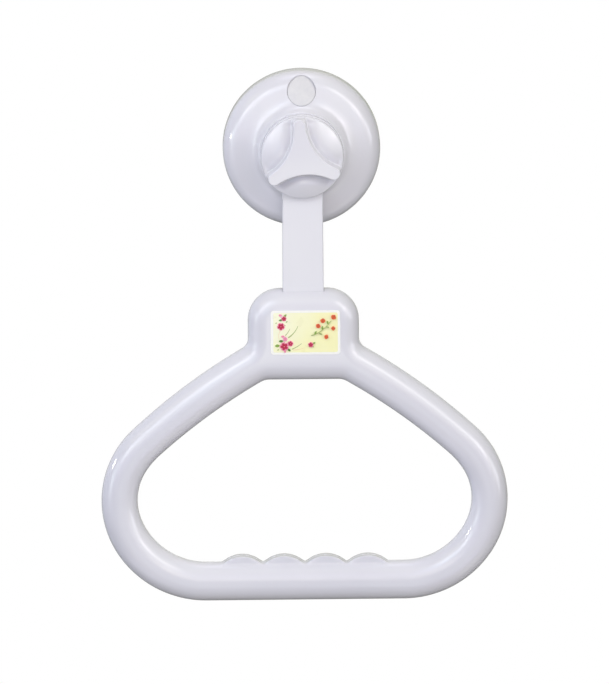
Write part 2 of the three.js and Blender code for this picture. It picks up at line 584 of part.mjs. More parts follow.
BOLT_Y.forEach((y, i) => {
  let bolt = turned([[0, 24.8], [3.5, 24.8], [3.9, 25.3], [3.9, 27.8], [2.0, 27.8], [2.0, 42.1], [1.6, 42.5], [0, 42.5]], 16);
  bolt = bolt.subtract(plate(hexagon(1.75), 20, 26.7));
  add(grip, `strap_bolt_${i + 1}`, bolt, metal(0xb4b7bc), 0, y, 0);
  add(grip, `strap_nut_${i + 1}`, plate(hexagon(4.04, 0, 0, 30), 40.0, 42.6).subtract(bar(2.3, 30, 45, 0, 0, 14)), metal(0xb4b7bc), 0, y, 0);
});
SCREWS.forEach(([x, y], i) => {
  let screw = turned([[0, 27.3], [2.3, 27.3], [2.9, 27.9], [2.9, 29.2], [1.45, 29.2], [1.45, 40.1], [0, 41.1]], 10);
  screw = screw.subtract(block(-1.6, 1.6, -0.35, 0.35, 26, 28.3)).subtract(block(-0.35, 0.35, -1.6, 1.6, 26, 28.3));
  add(grip, `shell_screw_${i + 1}`, screw, metal(0xa9acb2), x, y, 0);
  add(grip, `screw_plug_${i + 1}`, turned([[0, 23.6], [2.0, 23.75], [2.95, 24.2], [2.95, 26.1], [2.5, 26.7], [0, 26.7]], 10), plastic(ABS), x, y, 0);
});
{
  const { w, h, x, y, r, t } = LABEL;
  const pts = [
    ...arc(x + w / 2 - r, y + h / 2 - r, r, 0, 90, 3), ...arc(x - w / 2 + r, y + h / 2 - r, r, 90, 180, 3),
    ...arc(x - w / 2 + r, y - h / 2 + r, r, 180, 270, 3), ...arc(x + w / 2 - r, y - h / 2 + r, r, 270, 360, 3),
  ];
  add(grip, "label", plate(pts, MID + TUBE_R, MID + TUBE_R + t), plastic(0xfbf6cf, 0.35));
}

export default root;
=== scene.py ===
"""Suction grab bar: the visible surfaces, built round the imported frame. Lengths in the helpers are
millimetres in a bench frame (x to the right, y up the wall, h out from the wall)."""
import math

import bpy
import bmesh
import numpy as np
from mathutils import Matrix, Vector

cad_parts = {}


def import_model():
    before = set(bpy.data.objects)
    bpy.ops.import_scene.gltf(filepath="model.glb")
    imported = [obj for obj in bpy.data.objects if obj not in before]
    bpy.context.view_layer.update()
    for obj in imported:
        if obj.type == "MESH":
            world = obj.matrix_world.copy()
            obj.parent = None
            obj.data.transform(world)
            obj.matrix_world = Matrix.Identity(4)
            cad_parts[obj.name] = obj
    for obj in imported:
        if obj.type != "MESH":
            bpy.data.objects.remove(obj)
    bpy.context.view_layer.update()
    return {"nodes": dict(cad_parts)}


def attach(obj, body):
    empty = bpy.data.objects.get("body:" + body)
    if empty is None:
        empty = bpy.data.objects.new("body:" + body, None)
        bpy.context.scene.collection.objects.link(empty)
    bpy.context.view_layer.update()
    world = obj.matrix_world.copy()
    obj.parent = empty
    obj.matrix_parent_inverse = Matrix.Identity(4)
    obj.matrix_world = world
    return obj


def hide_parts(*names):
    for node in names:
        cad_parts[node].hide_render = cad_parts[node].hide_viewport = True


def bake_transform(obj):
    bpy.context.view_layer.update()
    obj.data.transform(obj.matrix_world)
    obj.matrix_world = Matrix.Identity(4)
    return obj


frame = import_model()
RAD = math.pi / 180.0

# ------------------------------------------------------------------ dimensions (mm)
CUP_R, CUP_WALL = 44.1, 2.3
SHOULDER_H, LAND_H = 10.5, 32.5
# the cover's run from shoulder to neck: bend radius and the tilt it ends at, or 0 and a straight length
BEND = ((13, 43), (9.2, 30.5), (15.3, 20.5), (0, 4.48), (-22, 31.5), (-7.46, 68))
BTN_Y, BTN_R = 34.2, 7.85
BTN_HIGH, BTN_LOW = 27.0, 17.0
KNOB_R, KNOB_Z0, KNOB_TOP = 23.05, 39.8, 51.5
ARM_TIP, ARM_R, WAIST, KNOB_TURN = 22.7, 3.45, 8.5, 5.0
RING_R, STRAP_Z0, STRAP_Z1 = 23.2, 32.9, 39.4
STRAP_TOP, STRAP_HALF_END, STRAP_END = 11.25, 11.5, -112.3
UP = 0.7  # the handle's own drawing sits this much higher than its figures below
BOLT_Y = (-88.0 + UP, -104.0 + UP)
MID, TUBE_R, WALL, SPLIT = 34.5, 11.0, 3.0, 0.10
RAIL_Y = -243.3 + UP
SCREWS = [(x, y + UP) for x, y in ((-38, -125.4), (38, -125.4), (-104.3, -197), (104.3, -197), (-42, -243.4), (42, -243.4))]
SCALLOP_X = (-35.25, -11.75, 11.75, 35.25)
SCALLOP_R, SCALLOP_TOP, SCALLOP_HALF = 16.3, -228.6 + UP, 4.7
LABEL_W, LABEL_H, LABEL_X, LABEL_Y, LABEL_R = 38.8, 25.0, 1.0, -99.4 + UP, 1.7


# ------------------------------------------------------------------ mesh helpers
def world(P):
    P = np.asarray(P, float)
    return np.stack([P[..., 0], -P[..., 2], P[..., 1]], -1) / 1000.0


def make_object(name, verts, faces, sharp=35.0, smooth=True):
    me = bpy.data.meshes.new(name)
    me.from_pydata([tuple(v) for v in world(verts)], [], [tuple(int(i) for i in f) for f in faces])
    me.validate()
    me.update()
    ob = bpy.data.objects.new(name, me)
    bpy.context.scene.collection.objects.link(ob)
    tidy(ob, sharp, smooth)
    return ob


def tidy(ob, sharp=35.0, smooth=True, recalc=True):
    me = ob.data
    if recalc:
        bm = bmesh.new()
        bm.from_mesh(me)
        bmesh.ops.recalc_face_normals(bm, faces=bm.faces)
        bm.to_mesh(me)
        bm.free()
    if smooth:
        me.shade_smooth()
        if sharp:
            me.set_sharp_from_angle(angle=sharp * RAD)
    me.update()


def arc(cx, cy, r, a0, a1, n):
    return [(cx + r * math.cos((a0 + (a1 - a0) * i / n) * RAD), cy + r * math.sin((a0 + (a1 - a0) * i / n) * RAD)) for i in range(n + 1)]


def rounded(points, steps=5, closed=False):
    """Polyline with a fillet of radius p[2] at each corner."""
    out = []
    n = len(points)
    for i, p in enumerate(points):
        r = p[2] if len(p) > 2 else 0.0
        if (not closed and i in (0, n - 1)) or r <= 0:
            out.append((p[0], p[1]))
            continue
        a, b = points[(i - 1) % n], points[(i + 1) % n]
        v1 = np.array([a[0] - p[0], a[1] - p[1]], float)
        v2 = np.array([b[0] - p[0], b[1] - p[1]], float)
        l1, l2 = np.linalg.norm(v1), np.linalg.norm(v2)
        v1, v2 = v1 / l1, v2 / l2
        cosang = float(np.clip(v1 @ v2, -1, 1))
        half = math.acos(cosang) / 2
        if abs(half - math.pi / 2) < 1e-4:
            out.append((p[0], p[1]))
            continue
        d = min(r / math.tan(half), 0.48 * l1, 0.48 * l2)
        r = d * math.tan(half)
        c = np.array(p[:2]) + (v1 + v2) / np.linalg.norm(v1 + v2) * (r / math.sin(half))
        s, e = np.array(p[:2]) + v1 * d, np.array(p[:2]) + v2 * d
        a0 = math.atan2(*(s - c)[::-1])
        a1 = math.atan2(*(e - c)[::-1])
        while a1 - a0 > math.pi:
            a1 -= 2 * math.pi
        while a1 - a0 < -math.pi:
            a1 += 2 * math.pi
        for k in range(steps + 1):
            t = a0 + (a1 - a0) * k / steps
            out.append((c[0] + r * math.cos(t), c[1] + r * math.sin(t)))
    return out


def lathe(profile, n=128, cx=0.0, cy=0.0, phase=0.0):
    """profile of (radius, h); ends on the axis, or a closed loop when neither end is on it."""
    on_axis = profile[0][0] < 1e-6 and profile[-1][0] < 1e-6
    verts, faces, rows = [], [], []
    for r, h in profile:
        if r < 1e-6:
            rows.append([len(verts)])
            verts.append((cx, cy, h))
        else:
            rows.append(list(range(len(verts), len(verts) + n)))
            for i in range(n):
                a = 2 * math.pi * i / n + phase
                verts.append((cx + r * math.cos(a), cy + r * math.sin(a), h))
    pairs = list(zip(rows[:-1], rows[1:]))
    if not on_axis:
        pairs.append((rows[-1], rows[0]))
    for A, B in pairs:
        for i in range(n):
            j = (i + 1) % n
            if len(A) == 1 and len(B) == 1:
                continue
            if len(A) == 1:
                faces.append((A[0], B[i], B[j]))
            elif len(B) == 1:
                faces.append((A[i], A[j], B[0]))
            else:
                faces.append((A[i], A[j], B[j], B[i]))
    return verts, faces


def turned(name, profile, n=128, cx=0.0, cy=0.0, sharp=35.0):
    v, f = lathe(profile, n, cx, cy)
    return make_object(name, v, f, sharp)


def prism(name, pts, h0, h1, sharp=35.0):
    n = len(pts)
    v = [(x, y, h0) for x, y in pts] + [(x, y, h1) for x, y in pts]
    f = [tuple(range(n - 1, -1, -1)), tuple(range(n, 2 * n))]
    f += [(i, (i + 1) % n, n + (i + 1) % n, n + i) for i in range(n)]
    return make_object(name, v, f, sharp)


def box_obj(name, x0, x1, y0, y1, h0, h1):
    return prism(name, [(x0, y0), (x1, y0), (x1, y1), (x0, y1)], h0, h1)


def boolean(ob, tool, op="DIFFERENCE", sharp=35.0):
    m = ob.modifiers.new("b", "BOOLEAN")
    m.operation = op
    m.object = tool
    try:
        m.solver = "MANIFOLD"
    except TypeError:
        m.solver = "EXACT"
    dg = bpy.context.evaluated_depsgraph_get()
    me = bpy.data.meshes.new_from_object(ob.evaluated_get(dg))
    if len(me.polygons) == 0:
        m.solver = "EXACT"
        dg = bpy.context.evaluated_depsgraph_get()
        me = bpy.data.meshes.new_from_object(ob.evaluated_get(dg))
    ob.modifiers.remove(m)
    ob.data = me
    bpy.data.objects.remove(tool, do_unlink=True)
    tidy(ob, sharp, recalc=False)


# ------------------------------------------------------------------ materials
def new_material(name):
    m = bpy.data.materials.new(name)
    m.use_nodes = True
    nt = m.node_tree
    nt.nodes.clear()
    out = nt.nodes.new("ShaderNodeOutputMaterial")
    bs = nt.nodes.new("ShaderNodeBsdfPrincipled")
    nt.links.new(bs.outputs["BSDF"], out.inputs["Surface"])
    tc = nt.nodes.new("ShaderNodeTexCoord")
    return m, nt, bs, tc


def noise(nt, tc, scale, detail=3.0, rough=0.5, dist=0.0):
    n = nt.nodes.new("ShaderNodeTexNoise")
    n.inputs["Scale"].default_value = scale
    n.inputs["Detail"].default_value = detail
    n.inputs["Roughness"].default_value = rough
    n.inputs["Distortion"].default_value = dist
    nt.links.new(tc.outputs["Object"], n.inputs["Vector"])
    return n


def ranged(nt, src, lo, hi, a=0.3, b=0.7):
    r = nt.nodes.new("ShaderNodeMapRange")
    r.inputs["From Min"].default_value = a
    r.inputs["From Max"].default_value = b
    r.inputs["To Min"].default_value = lo
    r.inputs["To Max"].default_value = hi
    nt.links.new(src, r.inputs["Value"])
    return r


def mix_colour(nt, fac, c0, c1):
    m = nt.nodes.new("ShaderNodeMix")
    m.data_type = "RGBA"
    m.inputs[6].default_value = (*c0, 1)
    m.inputs[7].default_value = (*c1, 1)
    nt.links.new(fac, m.inputs[0])
    return m


def bump_chain(nt, bs, sources):
    """sources: (output, strength, distance in m)"""
    prev = None
    for src, strength, distance in sources:
        b = nt.nodes.new("ShaderNodeBump")
        b.inputs["Strength"].default_value = strength
        b.inputs["Distance"].default_value = distance
        nt.links.new(src, b.inputs["Height"])
        if prev is not None:
            nt.links.new(prev.outputs["Normal"], b.inputs["Normal"])
        prev = b
    nt.links.new(prev.outputs["Normal"], bs.inputs["Normal"])


def plastic(name, c0, c1, rough=(0.11, 0.17), coat=0.0, ior=1.53, wave=0.35, grain=0.25, spec=0.5, drift_scale=14.0):
    """Glossy moulded plastic: faint colour drift, uneven gloss, slow sink marks and a fine orange peel."""
    m, nt, bs, tc = new_material(name)
    drift = noise(nt, tc, drift_scale, 3.0, 0.55, 0.4)
    mix = mix_colour(nt, ranged(nt, drift.outputs["Fac"], 0, 1).outputs["Result"], c0, c1)
    nt.links.new(mix.outputs[2], bs.inputs["Base Color"])
    gloss = noise(nt, tc, 55.0, 5.0, 0.6)
    nt.links.new(ranged(nt, gloss.outputs["Fac"], rough[0], rough[1]).outputs["Result"], bs.inputs["Roughness"])
    bs.inputs["IOR"].default_value = ior
    bs.inputs["Specular IOR Level"].default_value = spec
    if coat:
        bs.inputs["Coat Weight"].default_value = coat
        bs.inputs["Coat Roughness"].default_value = 0.05
    slow = noise(nt, tc, 38.0, 2.0, 0.4)
    peel = noise(nt, tc, 900.0, 2.0, 0.5)
    bump_chain(nt, bs, [(slow.outputs["Fac"], wave, 0.00012), (peel.outputs["Fac"], grain, 0.000006)])
    return m


def metal(name, c0, c1, rough=(0.22, 0.4), scale=(300.0, 900.0)):
    m, nt, bs, tc = new_material(name)
    a = noise(nt, tc, scale[0], 4.0, 0.6)
    mix = mix_colour(nt, ranged(nt, a.outputs["Fac"], 0, 1).outputs["Result"], c0, c1)
    nt.links.new(mix.outputs[2], bs.inputs["Base Color"])
    bs.inputs["Metallic"].default_value = 1.0
    b = noise(nt, tc, scale[1], 5.0, 0.65)
    nt.links.new(ranged(nt, b.outputs["Fac"], rough[0], rough[1]).outputs["Result"], bs.inputs["Roughness"])
    bump_chain(nt, bs, [(b.outputs["Fac"], 0.3, 0.00001)])
    return m


ABS_A, ABS_B = (0.765, 0.762, 0.835), (0.795, 0.792, 0.86)
MAT_ABS = plastic("white_abs", ABS_A, ABS_B, coat=0.3)
MAT_BUTTON = plastic("button_plastic", (0.695, 0.69, 0.735), (0.765, 0.76, 0.79), rough=(0.24, 0.36), drift_scale=170.0)
MAT_ACETAL = plastic("acetal", (0.80, 0.80, 0.78), (0.84, 0.84, 0.82), rough=(0.34, 0.46))
MAT_RUBBER = plastic("dark_rubber", (0.02, 0.02, 0.022), (0.035, 0.035, 0.037), rough=(0.6, 0.75), grain=0.5)
MAT_STEEL = metal("plated_steel", (0.56, 0.57, 0.60), (0.66, 0.67, 0.69))
MAT_SPRING = metal("spring_steel", (0.42, 0.43, 0.45), (0.52, 0.53, 0.55))
MAT_BRASS = metal("nut_brass", (0.66, 0.48, 0.20), (0.76, 0.58, 0.28))


def pvc():
    m, nt, bs, tc = new_material("soft_pvc")
    n = noise(nt, tc, 26.0, 4.0, 0.6, 0.6)
    mix = mix_colour(nt, ranged(nt, n.outputs["Fac"], 0, 1).outputs["Result"], (0.74, 0.79, 0.84), (0.82, 0.86, 0.89))
    nt.links.new(mix.outputs[2], bs.inputs["Base Color"])
    g = noise(nt, tc, 120.0, 4.0, 0.6)
    nt.links.new(ranged(nt, g.outputs["Fac"], 0.24, 0.38).outputs["Result"], bs.inputs["Roughness"])
    bs.inputs["IOR"].default_value = 1.45
    bs.inputs["Transmission Weight"].default_value = 0.35
    bump_chain(nt, bs, [(n.outputs["Fac"], 0.3, 0.0001), (g.outputs["Fac"], 0.2, 0.00001)])
    return m


MAT_PVC = pvc()


def give(ob, mat):
    ob.data.materials.clear()
    ob.data.materials.append(mat)


def place(ob, mat, body, slot, *nodes):
    give(ob, mat)
    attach(ob, body)
    if nodes:
        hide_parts(*nodes)
    return ob


# ------------------------------------------------------------------ suction cup cover
def cover_curve(off=0.0, deg=3.0):
    """The cover's section from the shoulder up to the neck, offset inwards by off."""
    r, h, t = CUP_R, SHOULDER_H, 0.0
    out = [(r - off, h)]
    for rho, end in BEND:
        if not rho:
            for k in (1, 2, 3, 4):
                rr, hh = r - end * math.sin(t) * k / 4, h + end * math.cos(t) * k / 4
                out.append((rr - off * math.cos(t), hh - off * math.sin(t)))
            r, h = rr, hh
            continue
        stop = (90 - end) * RAD
        cr, ch = r - rho * math.cos(t), h - rho * math.sin(t)
        n = max(2, int(abs(stop - t) / RAD / deg))
        for k in range(1, n + 1):
            a = t + (stop - t) * k / n
            r, h = cr + rho * math.cos(a), ch + rho * math.sin(a)
            out.append((r - off * math.cos(a), h - off * math.sin(a)))
        t = stop
    return out


def build_cover():
    sh, ld = SHOULDER_H, LAND_H
    roof = ld - 2.8
    outer = cover_curve(0.0, 2.5)
    prof = [(0.0, roof), (9.0, roof)]
    prof += rounded([(9.0, roof), (22.5, roof, 0.6), cover_curve(CUP_WALL)[-1]], 4)[1:-1]
    prof += list(reversed(cover_curve(CUP_WALL, 6.0)))
    prof += rounded([(CUP_R - CUP_WALL, sh), (CUP_R - CUP_WALL, 3.3, 0.6), (CUP_R - CUP_WALL + 0.6, 2.6, 0.3), (CUP_R, 2.6, 0.7), (CUP_R, sh)], 4)[1:-1]
    prof += outer[:-1]
    prof += rounded([outer[-1], (23.75, ld, 0.9), (21.2, ld, 0.15), (21.2, ld - 1), (11.9, ld - 1), (11.9, ld, 0.15), (10.0, ld, 0.2), (10.0, ld + 6.6, 0.5), (7.4, ld + 6.6)], 5)
    prof += [(0.0, ld + 6.6)]
    ob = turned("cup_cover_skin", prof, 224)
    # inner ribs, spring seat and the button's tower
    inside_prof = [(0, 2.6), (CUP_R - 1.1, 2.6), *cover_curve(1.1, 6.0), (23.1, ld - 1.8), (0, ld - 1.8)]
    for k in range(6):
        c, s = math.cos(k * 60 * RAD), math.sin(k * 60 * RAD)
        q = [(20, -0.9), (44, -0.9), (44, 0.9), (20, 0.9)]
        rib = prism("rib", [(x * c - y * s, x * s + y * c) for x, y in q], 8, ld - 2.0)
        ins = turned("inside", inside_prof, 96)
        boolean(rib, ins, "INTERSECT")
        boolean(ob, rib, "UNION")
    seat = turned("seat", [(10.2, roof - 2.6), (11.8, roof - 2.6), (11.8, roof + 0.8), (10.2, roof + 0.8)], 64)
    boolean(ob, seat, "UNION")
    tower = turned("tower", [(2.4, 7.2), (10.2, 7.2), (10.2, ld - 2), (2.4, ld - 2)], 64, 0, BTN_Y)
    ins = turned("inside", inside_prof, 96)
    boolean(tower, ins, "INTERSECT")
    boolean(ob, tower, "UNION")
    hole = turned("hole", [(0, 8.6), (BTN_R + 0.2, 8.6), (BTN_R + 0.2, 45), (0, 45)], 96, 0, BTN_Y)
    boolean(ob, hole)
    stem = turned("stem", [(0, 5), (2.4, 5), (2.4, 12), (0, 12)], 32, 0, BTN_Y)
    boolean(ob, stem)
    pts = [p for p in arc(0, 0, 7.2, 0, 360, 96)[:-1]]
    pts = [(max(-5.6, min(5.6, x)), y) for x, y in pts]
    dd = prism("dd", pts, 20, 45)
    boolean(ob, dd, sharp=28)
    return place(ob, MAT_ABS, "cup", "abs_white", "cup_cover")


def build_button():
    """Crowned, slanted cap with a rolled edge, a side wall and its stem."""
    n = 96
    slope = (BTN_HIGH - BTN_LOW) / 15.7

    def top(x, y, rho):
        return BTN_HIGH - slope * (y - 26.35) + 0.75 * (1 - rho ** 2)

    verts, faces, rings = [], [], []
    levels = [(0.12 * k, 0.0) for k in range(1, 8)] + [(0.90, 0.0), (0.94, 0.01), (0.965, 0.05), (0.985, 0.14), (0.996, 0.27), (1.0, 0.45)]
    verts.append((0, BTN_Y, top(0, BTN_Y, 0)))
    wide = BTN_R + 0.12
    for rho, drop in levels:
        row = []
        for i in range(n):
            a = 2 * math.pi * i / n
            x, y = rho * wide * math.cos(a), BTN_Y + rho * wide * math.sin(a)
            row.append(len(verts))
            verts.append((x, y, top(x, y, min(rho, 1)) - drop))
        rings.append(row)
    for rho, h in [(wide / BTN_R, 12.5), (1.0, 11.6), (1.0, 10.9), (4.6 / BTN_R, 10.9), (4.6 / BTN_R, 13.2), (2.0 / BTN_R, 13.2), (2.0 / BTN_R, 3.0), (1.0 / BTN_R, 3.0), (1.0 / BTN_R, 2.0)]:
        row = []
        for i in range(n):
            a = 2 * math.pi * i / n
            row.append(len(verts))
            verts.append((rho * BTN_R * math.cos(a), BTN_Y + rho * BTN_R * math.sin(a), h))
        rings.append(row)
    end = len(verts)
    verts.append((0, BTN_Y, 2.0))
    for i in range(n):
        faces.append((0, rings[0][i], rings[0][(i + 1) % n]))
        faces.append((end, rings[-1][(i + 1) % n], rings[-1][i]))
    for A, B in zip(rings[:-1], rings[1:]):
        for i in range(n):
            j = (i + 1) % n
            faces.append((A[i], B[i], B[j], A[j]))
    ob = make_object("release_cap", verts, faces, 40)
    return place(ob, MAT_BUTTON, "button", "button_plastic", "release_button")


# ------------------------------------------------------------------ knob
def grip_outline(n_tip=22, n_side=44):
    c0 = ARM_TIP - ARM_R
    a = WAIST - ARM_R
    c = (c0 * c0 - a * a) / (c0 - 2 * a)
    rho = c - WAIST
    pts = []
    for k in range(3):
        arm = 90 + 120 * k + KNOB_TURN
        tx, ty = c0 * math.cos(arm * RAD), c0 * math.sin(arm * RAD)
        rx, ry = c * math.cos((arm - 60) * RAD), c * math.sin((arm - 60) * RAD)
        lx, ly = c * math.cos((arm + 60) * RAD), c * math.sin((arm + 60) * RAD)
        a0 = math.atan2(ry - ty, rx - tx) / RAD
        a1 = math.atan2(ly - ty, lx - tx) / RAD
        while a1 < a0:
            a1 += 360
        for i in range(n_tip + 1):
            t = (a0 + (a1 - a0) * i / n_tip) * RAD
            pts.append((tx + ARM_R * math.cos(t), ty + ARM_R * math.sin(t), math.cos(t), math.sin(t)))
        nx = (arm + 120)
        s0 = math.atan2(ty - ly, tx - lx) / RAD
        s1 = math.atan2(c0 * math.sin(nx * RAD) - ly, c0 * math.cos(nx * RAD) - lx) / RAD
        while s1 > s0:
            s1 -= 360
        for i in range(1, n_side):
            t = (s0 + (s1 - s0) * i / n_side) * RAD
            pts.append((lx + rho * math.cos(t), ly + rho * math.sin(t), -math.cos(t), -math.sin(t)))
    return np.array(pts)


def fillet_path(pts, counts, steps):
    """Points along a polyline with fillets, the same number whatever the lengths are."""
    r = rounded(pts, steps)
    out = [r[0]]
    i = 1
    for k in range(1, len(pts)):
        # straight run up to the next corner's fillet
        target = r[i]
        m = counts[k - 1]
        p = out[-1]
        for q in range(1, m + 1):
            out.append((p[0] + (target[0] - p[0]) * q / m, p[1] + (target[1] - p[1]) * q / m))
        i += 1
        if k < len(pts) - 1:
            out += r[i:i + steps]
            i += steps
    return out


def build_knob():
    O = grip_outline()
    n = len(O)
    edge_r = 0.85  # rolled edge of the grip face
    rim_h, dome = KNOB_Z0 + 3.0, 7.0
    crown, foot = 0.6, 1.9  # fall of the grip face towards the arm tips, depth of the channel along the grip's wall

    def face_h(x, y):
        return KNOB_TOP - crown * (x * x + y * y) / ARM_TIP ** 2

    rings = []
    rays = []
    for x, y, nx, ny in O:
        bx, by = x - nx * edge_r, y - ny * edge_r  # start of the rolled edge
        b = bx * nx + by * ny
        T = -b + math.sqrt(b * b - (bx * bx + by * by - KNOB_R ** 2))
        rays.append((bx, by, nx, ny, T))
    rays = np.array(rays)
    heights = []
    for bx, by, nx, ny, T in rays:
        s_w = min(edge_r + 1.0, 0.86 * T)
        px, py = bx + nx * s_w, by + ny * s_w
        rad = math.hypot(px, py)
        sink = foot * min(1.0, (T - s_w) / 7.0)
        h_b = rim_h + dome * (1 - (rad / KNOB_R) ** 2) - sink
        z_t = face_h(bx, by)
        path = fillet_path([(-0.4, z_t), (edge_r * 0.9, z_t, edge_r), (s_w, h_b, 1.3), (T, rim_h, 0.9), (T, KNOB_Z0, 0.35), (T - 0.8, KNOB_Z0)], [2, 5, 18, 3, 1], 6)
        q = np.array(path)
        # crown of the lobe between the wall and the rim
        tau = np.clip((q[:, 0] - s_w) / max(T - s_w, 1e-6), 0, 1)
        run = (q[:, 0] >= s_w - 1e-9) & (q[:, 1] > rim_h - 0.8)
        wide = np.clip((q[:, 0] - s_w) / min(6.5, 0.8 * (T - s_w) + 1e-6), 0, 1)
        q[:, 1] += np.where(run, dome * ((T - s_w) / KNOB_R) ** 2 * tau * (1 - tau) + sink * (wide * (2 - wide) - tau), 0)
        heights.append(q)
    m = len(heights[0])
    verts, faces = [], []
    top = len(verts)
    for k in range(m):
        row = []
        for (bx, by, nx, ny, T), q in zip(rays, heights):
            row.append(len(verts))
            s, h = q[k]
            verts.append((bx + nx * s, by + ny * s, h))
        rings.append(row)
    # crowned grip face inside the rolled edge
    inner = []
    for f in (0.82, 0.64, 0.46, 0.28, 0.12):
        row = []
        for i in rings[0]:
            x, y, _ = verts[i]
            row.append(len(verts))
            verts.append((x * f, y * f, face_h(x * f, y * f)))
        inner.append(row)
    # underside: down to the socket and up inside it
    last = rings[-1]
    for r, h in [(10.6, KNOB_Z0), (10.6, KNOB_Z0 + 6.6), (7.8, KNOB_Z0 + 6.6), (7.8, KNOB_Z0 + 9.0)]:
        row = []
        for i in last:
            x, y, _ = verts[i]
            d = math.hypot(x, y)
            row.append(len(verts))
            verts.append((x / d * r, y / d * r, h))
        rings.append(row)
    for A, B in zip(rings[:-1], rings[1:]):
        for i in range(n):
            j = (i + 1) % n
            faces.append((A[i], B[i], B[j], A[j]))
    for A, B in zip([rings[0]] + inner[:-1], inner):
        for i in range(n):
            j = (i + 1) % n
            faces.append((B[i], A[i], A[j], B[j]))
    faces.append(tuple(inner[-1]))
    faces.append(tuple(reversed(rings[-1])))
    ob = make_object("knob_body", verts, faces, 50)
    return place(ob, MAT_ABS, "knob", "abs_white", "locking_knob")


# ------------------------------------------------------------------ strap
def build_strap():
    e = 0.6
    ang = math.asin(STRAP_TOP / RING_R) / RAD
    pts = [(*p, 0.0) for p in arc(0, 0, RING_R, -90 + ang, 270 - ang, 160)]
    loop = [(p[0], p[1], 0.0) for p in pts[1:-1]]
    corner_r = (STRAP_TOP, -RING_R * math.cos(ang * RAD))
    corner_l = (-STRAP_TOP, corner_r[1])
    outline = rounded([(*corner_r, 1.6)] + loop + [(*corner_l, 1.6)] + [(-STRAP_HALF_END, -75.0, 0), (-STRAP_HALF_END, STRAP_END, 2.0), (STRAP_HALF_END, STRAP_END, 2.0), (STRAP_HALF_END, -75.0, 0)], 6, closed=True)
    P = np.array(outline)
    n = len(P)
    nxt, prv = np.roll(P, -1, 0), np.roll(P, 1, 0)
    t = nxt - prv
    t /= np.linalg.norm(t, axis=1)[:, None]
    nor = np.stack([t[:, 1], -t[:, 0]], 1)
    area = 0.5 * np.sum(P[:, 0] * nxt[:, 1] - nxt[:, 0] * P[:, 1])
    if area < 0:
        nor = -nor
    verts, faces, rings = [], [], []
    levels = [(1.1, STRAP_Z1)] + [(e * (1 - math.sin(a * RAD)), STRAP_Z1 - e * (1 - math.cos(a * RAD))) for a in (0, 18, 36, 54, 72, 90)]
    levels += [(e * (1 - math.sin(a * RAD)), STRAP_Z0 + e * (1 - math.cos(a * RAD))) for a in (90, 72, 54, 36, 18, 0)] + [(1.1, STRAP_Z0)]
    for inset, h in levels:
        row = []
        for p, q in zip(P, nor):
            row.append(len(verts))
            verts.append((p[0] - q[0] * inset, p[1] - q[1] * inset, h))
        rings.append(row)
    for A, B in zip(rings[:-1], rings[1:]):
        for i in range(n):
            j = (i + 1) % n
            faces.append((A[i], B[i], B[j], A[j]))
    faces.append(tuple(rings[0]))
    faces.append(tuple(reversed(rings[-1])))
    ob = make_object("strap_body", verts, faces, 40)
    boolean(ob, turned("bore", [(0, 20), (10.3, 20), (10.3, 45), (0, 45)], 96))
    boolean(ob, turned("recess", [(0, STRAP_Z1 - 0.9), (20.7, STRAP_Z1 - 0.9), (20.7, 45), (0, 45)], 96))
    for y in BOLT_Y:
        boolean(ob, turned("bh", [(0, 20), (2.3, 20), (2.3, 45), (0, 45)], 32, 0, y), sharp=40)
    return place(ob, MAT_ABS, "handle", "abs_white", "hanger_strap")


# ------------------------------------------------------------------ handle
def chain(x, y, heading, segments, step):
    pts = [(x, y)]
    for length, r in segments:
        k = 1.0 / r if r else 0.0
        steps = max(2, int(round(length / step)))
        ds = length / steps
        for _ in range(steps):
            h = heading + k * ds / 2
            chord = (2 / k) * math.sin(k * ds / 2) if k else ds
            x += math.cos(h) * chord
            y += math.sin(h) * chord
            heading += k * ds
            pts.append((x, y))
    return np.array(pts)


def half_outline(kind, step):
    if kind == "outer":
        head = [(13.11, 0), (18.4 * math.pi / 2, -18.4), (10.18, 0), (6.474 * (math.pi / 2 - 0.531), 6.474), (77.507, -353.7), (21.237, -55.22), (59.0, -56.18)]
        bend, start = 59.61, (0.0, -75.725 + UP)
    else:
        head = [(19.47, 0), (8.4 * 0.524, -8.4), (70.81, -337.0), (11.066, -45.55), (30.6, -30.41)]
        bend, start = 38.94, (0.0, -128.38 + UP)
    trim = 0.42 if kind == "outer" else -0.42
    head = [(l * (r + trim) / r, r + trim) if r else (l, r) for l, r in head]
    bend, start = bend - trim, (start[0], start[1] - trim)
    turn = sum(l / r for l, r in head if r) + math.pi
    allseg = head + [(bend * turn, -bend)]
    end = chain(*start, 0.0, allseg, 1.0)[-1]
    allseg.append((float(end[0]), 0))
    p = chain(*start, 0.0, allseg, step)
    p[-1, 0] = 0.0
    return p


def arclen(P):
    return np.concatenate([[0], np.cumsum(np.linalg.norm(np.diff(P, axis=0), axis=1))])


def at_len(P, L, s):
    return np.stack([np.interp(s, L, P[:, 0]), np.interp(s, L, P[:, 1])], -1)


def seg_distance(Q, loops):
    best = np.full(len(Q), 1e9)
    for P in loops:
        A, B = P, np.roll(P, -1, 0)
        AB = B - A
        ll = (AB ** 2).sum(1)
        ok = ll > 1e-12
        A, AB, ll = A[ok], AB[ok], ll[ok]
        for i in range(0, len(Q), 2048):
            q = Q[i:i + 2048]
            d = q[:, None, :] - A[None]
            t = np.clip((d * AB[None]).sum(2) / ll[None], 0, 1)
            r = d - t[..., None] * AB[None]
            best[i:i + 2048] = np.minimum(best[i:i + 2048], np.sqrt((r ** 2).sum(2)).min(1))
    return best


def smin(a, b, k):
    h = np.clip(0.5 + 0.5 * (b - a) / k, 0, 1)
    return b * (1 - h) + a * h - k * h * (1 - h)


def mirrored(P):
    return np.vstack([P, (P[1:-1] * [-1, 1])[::-1]])


_H = {}


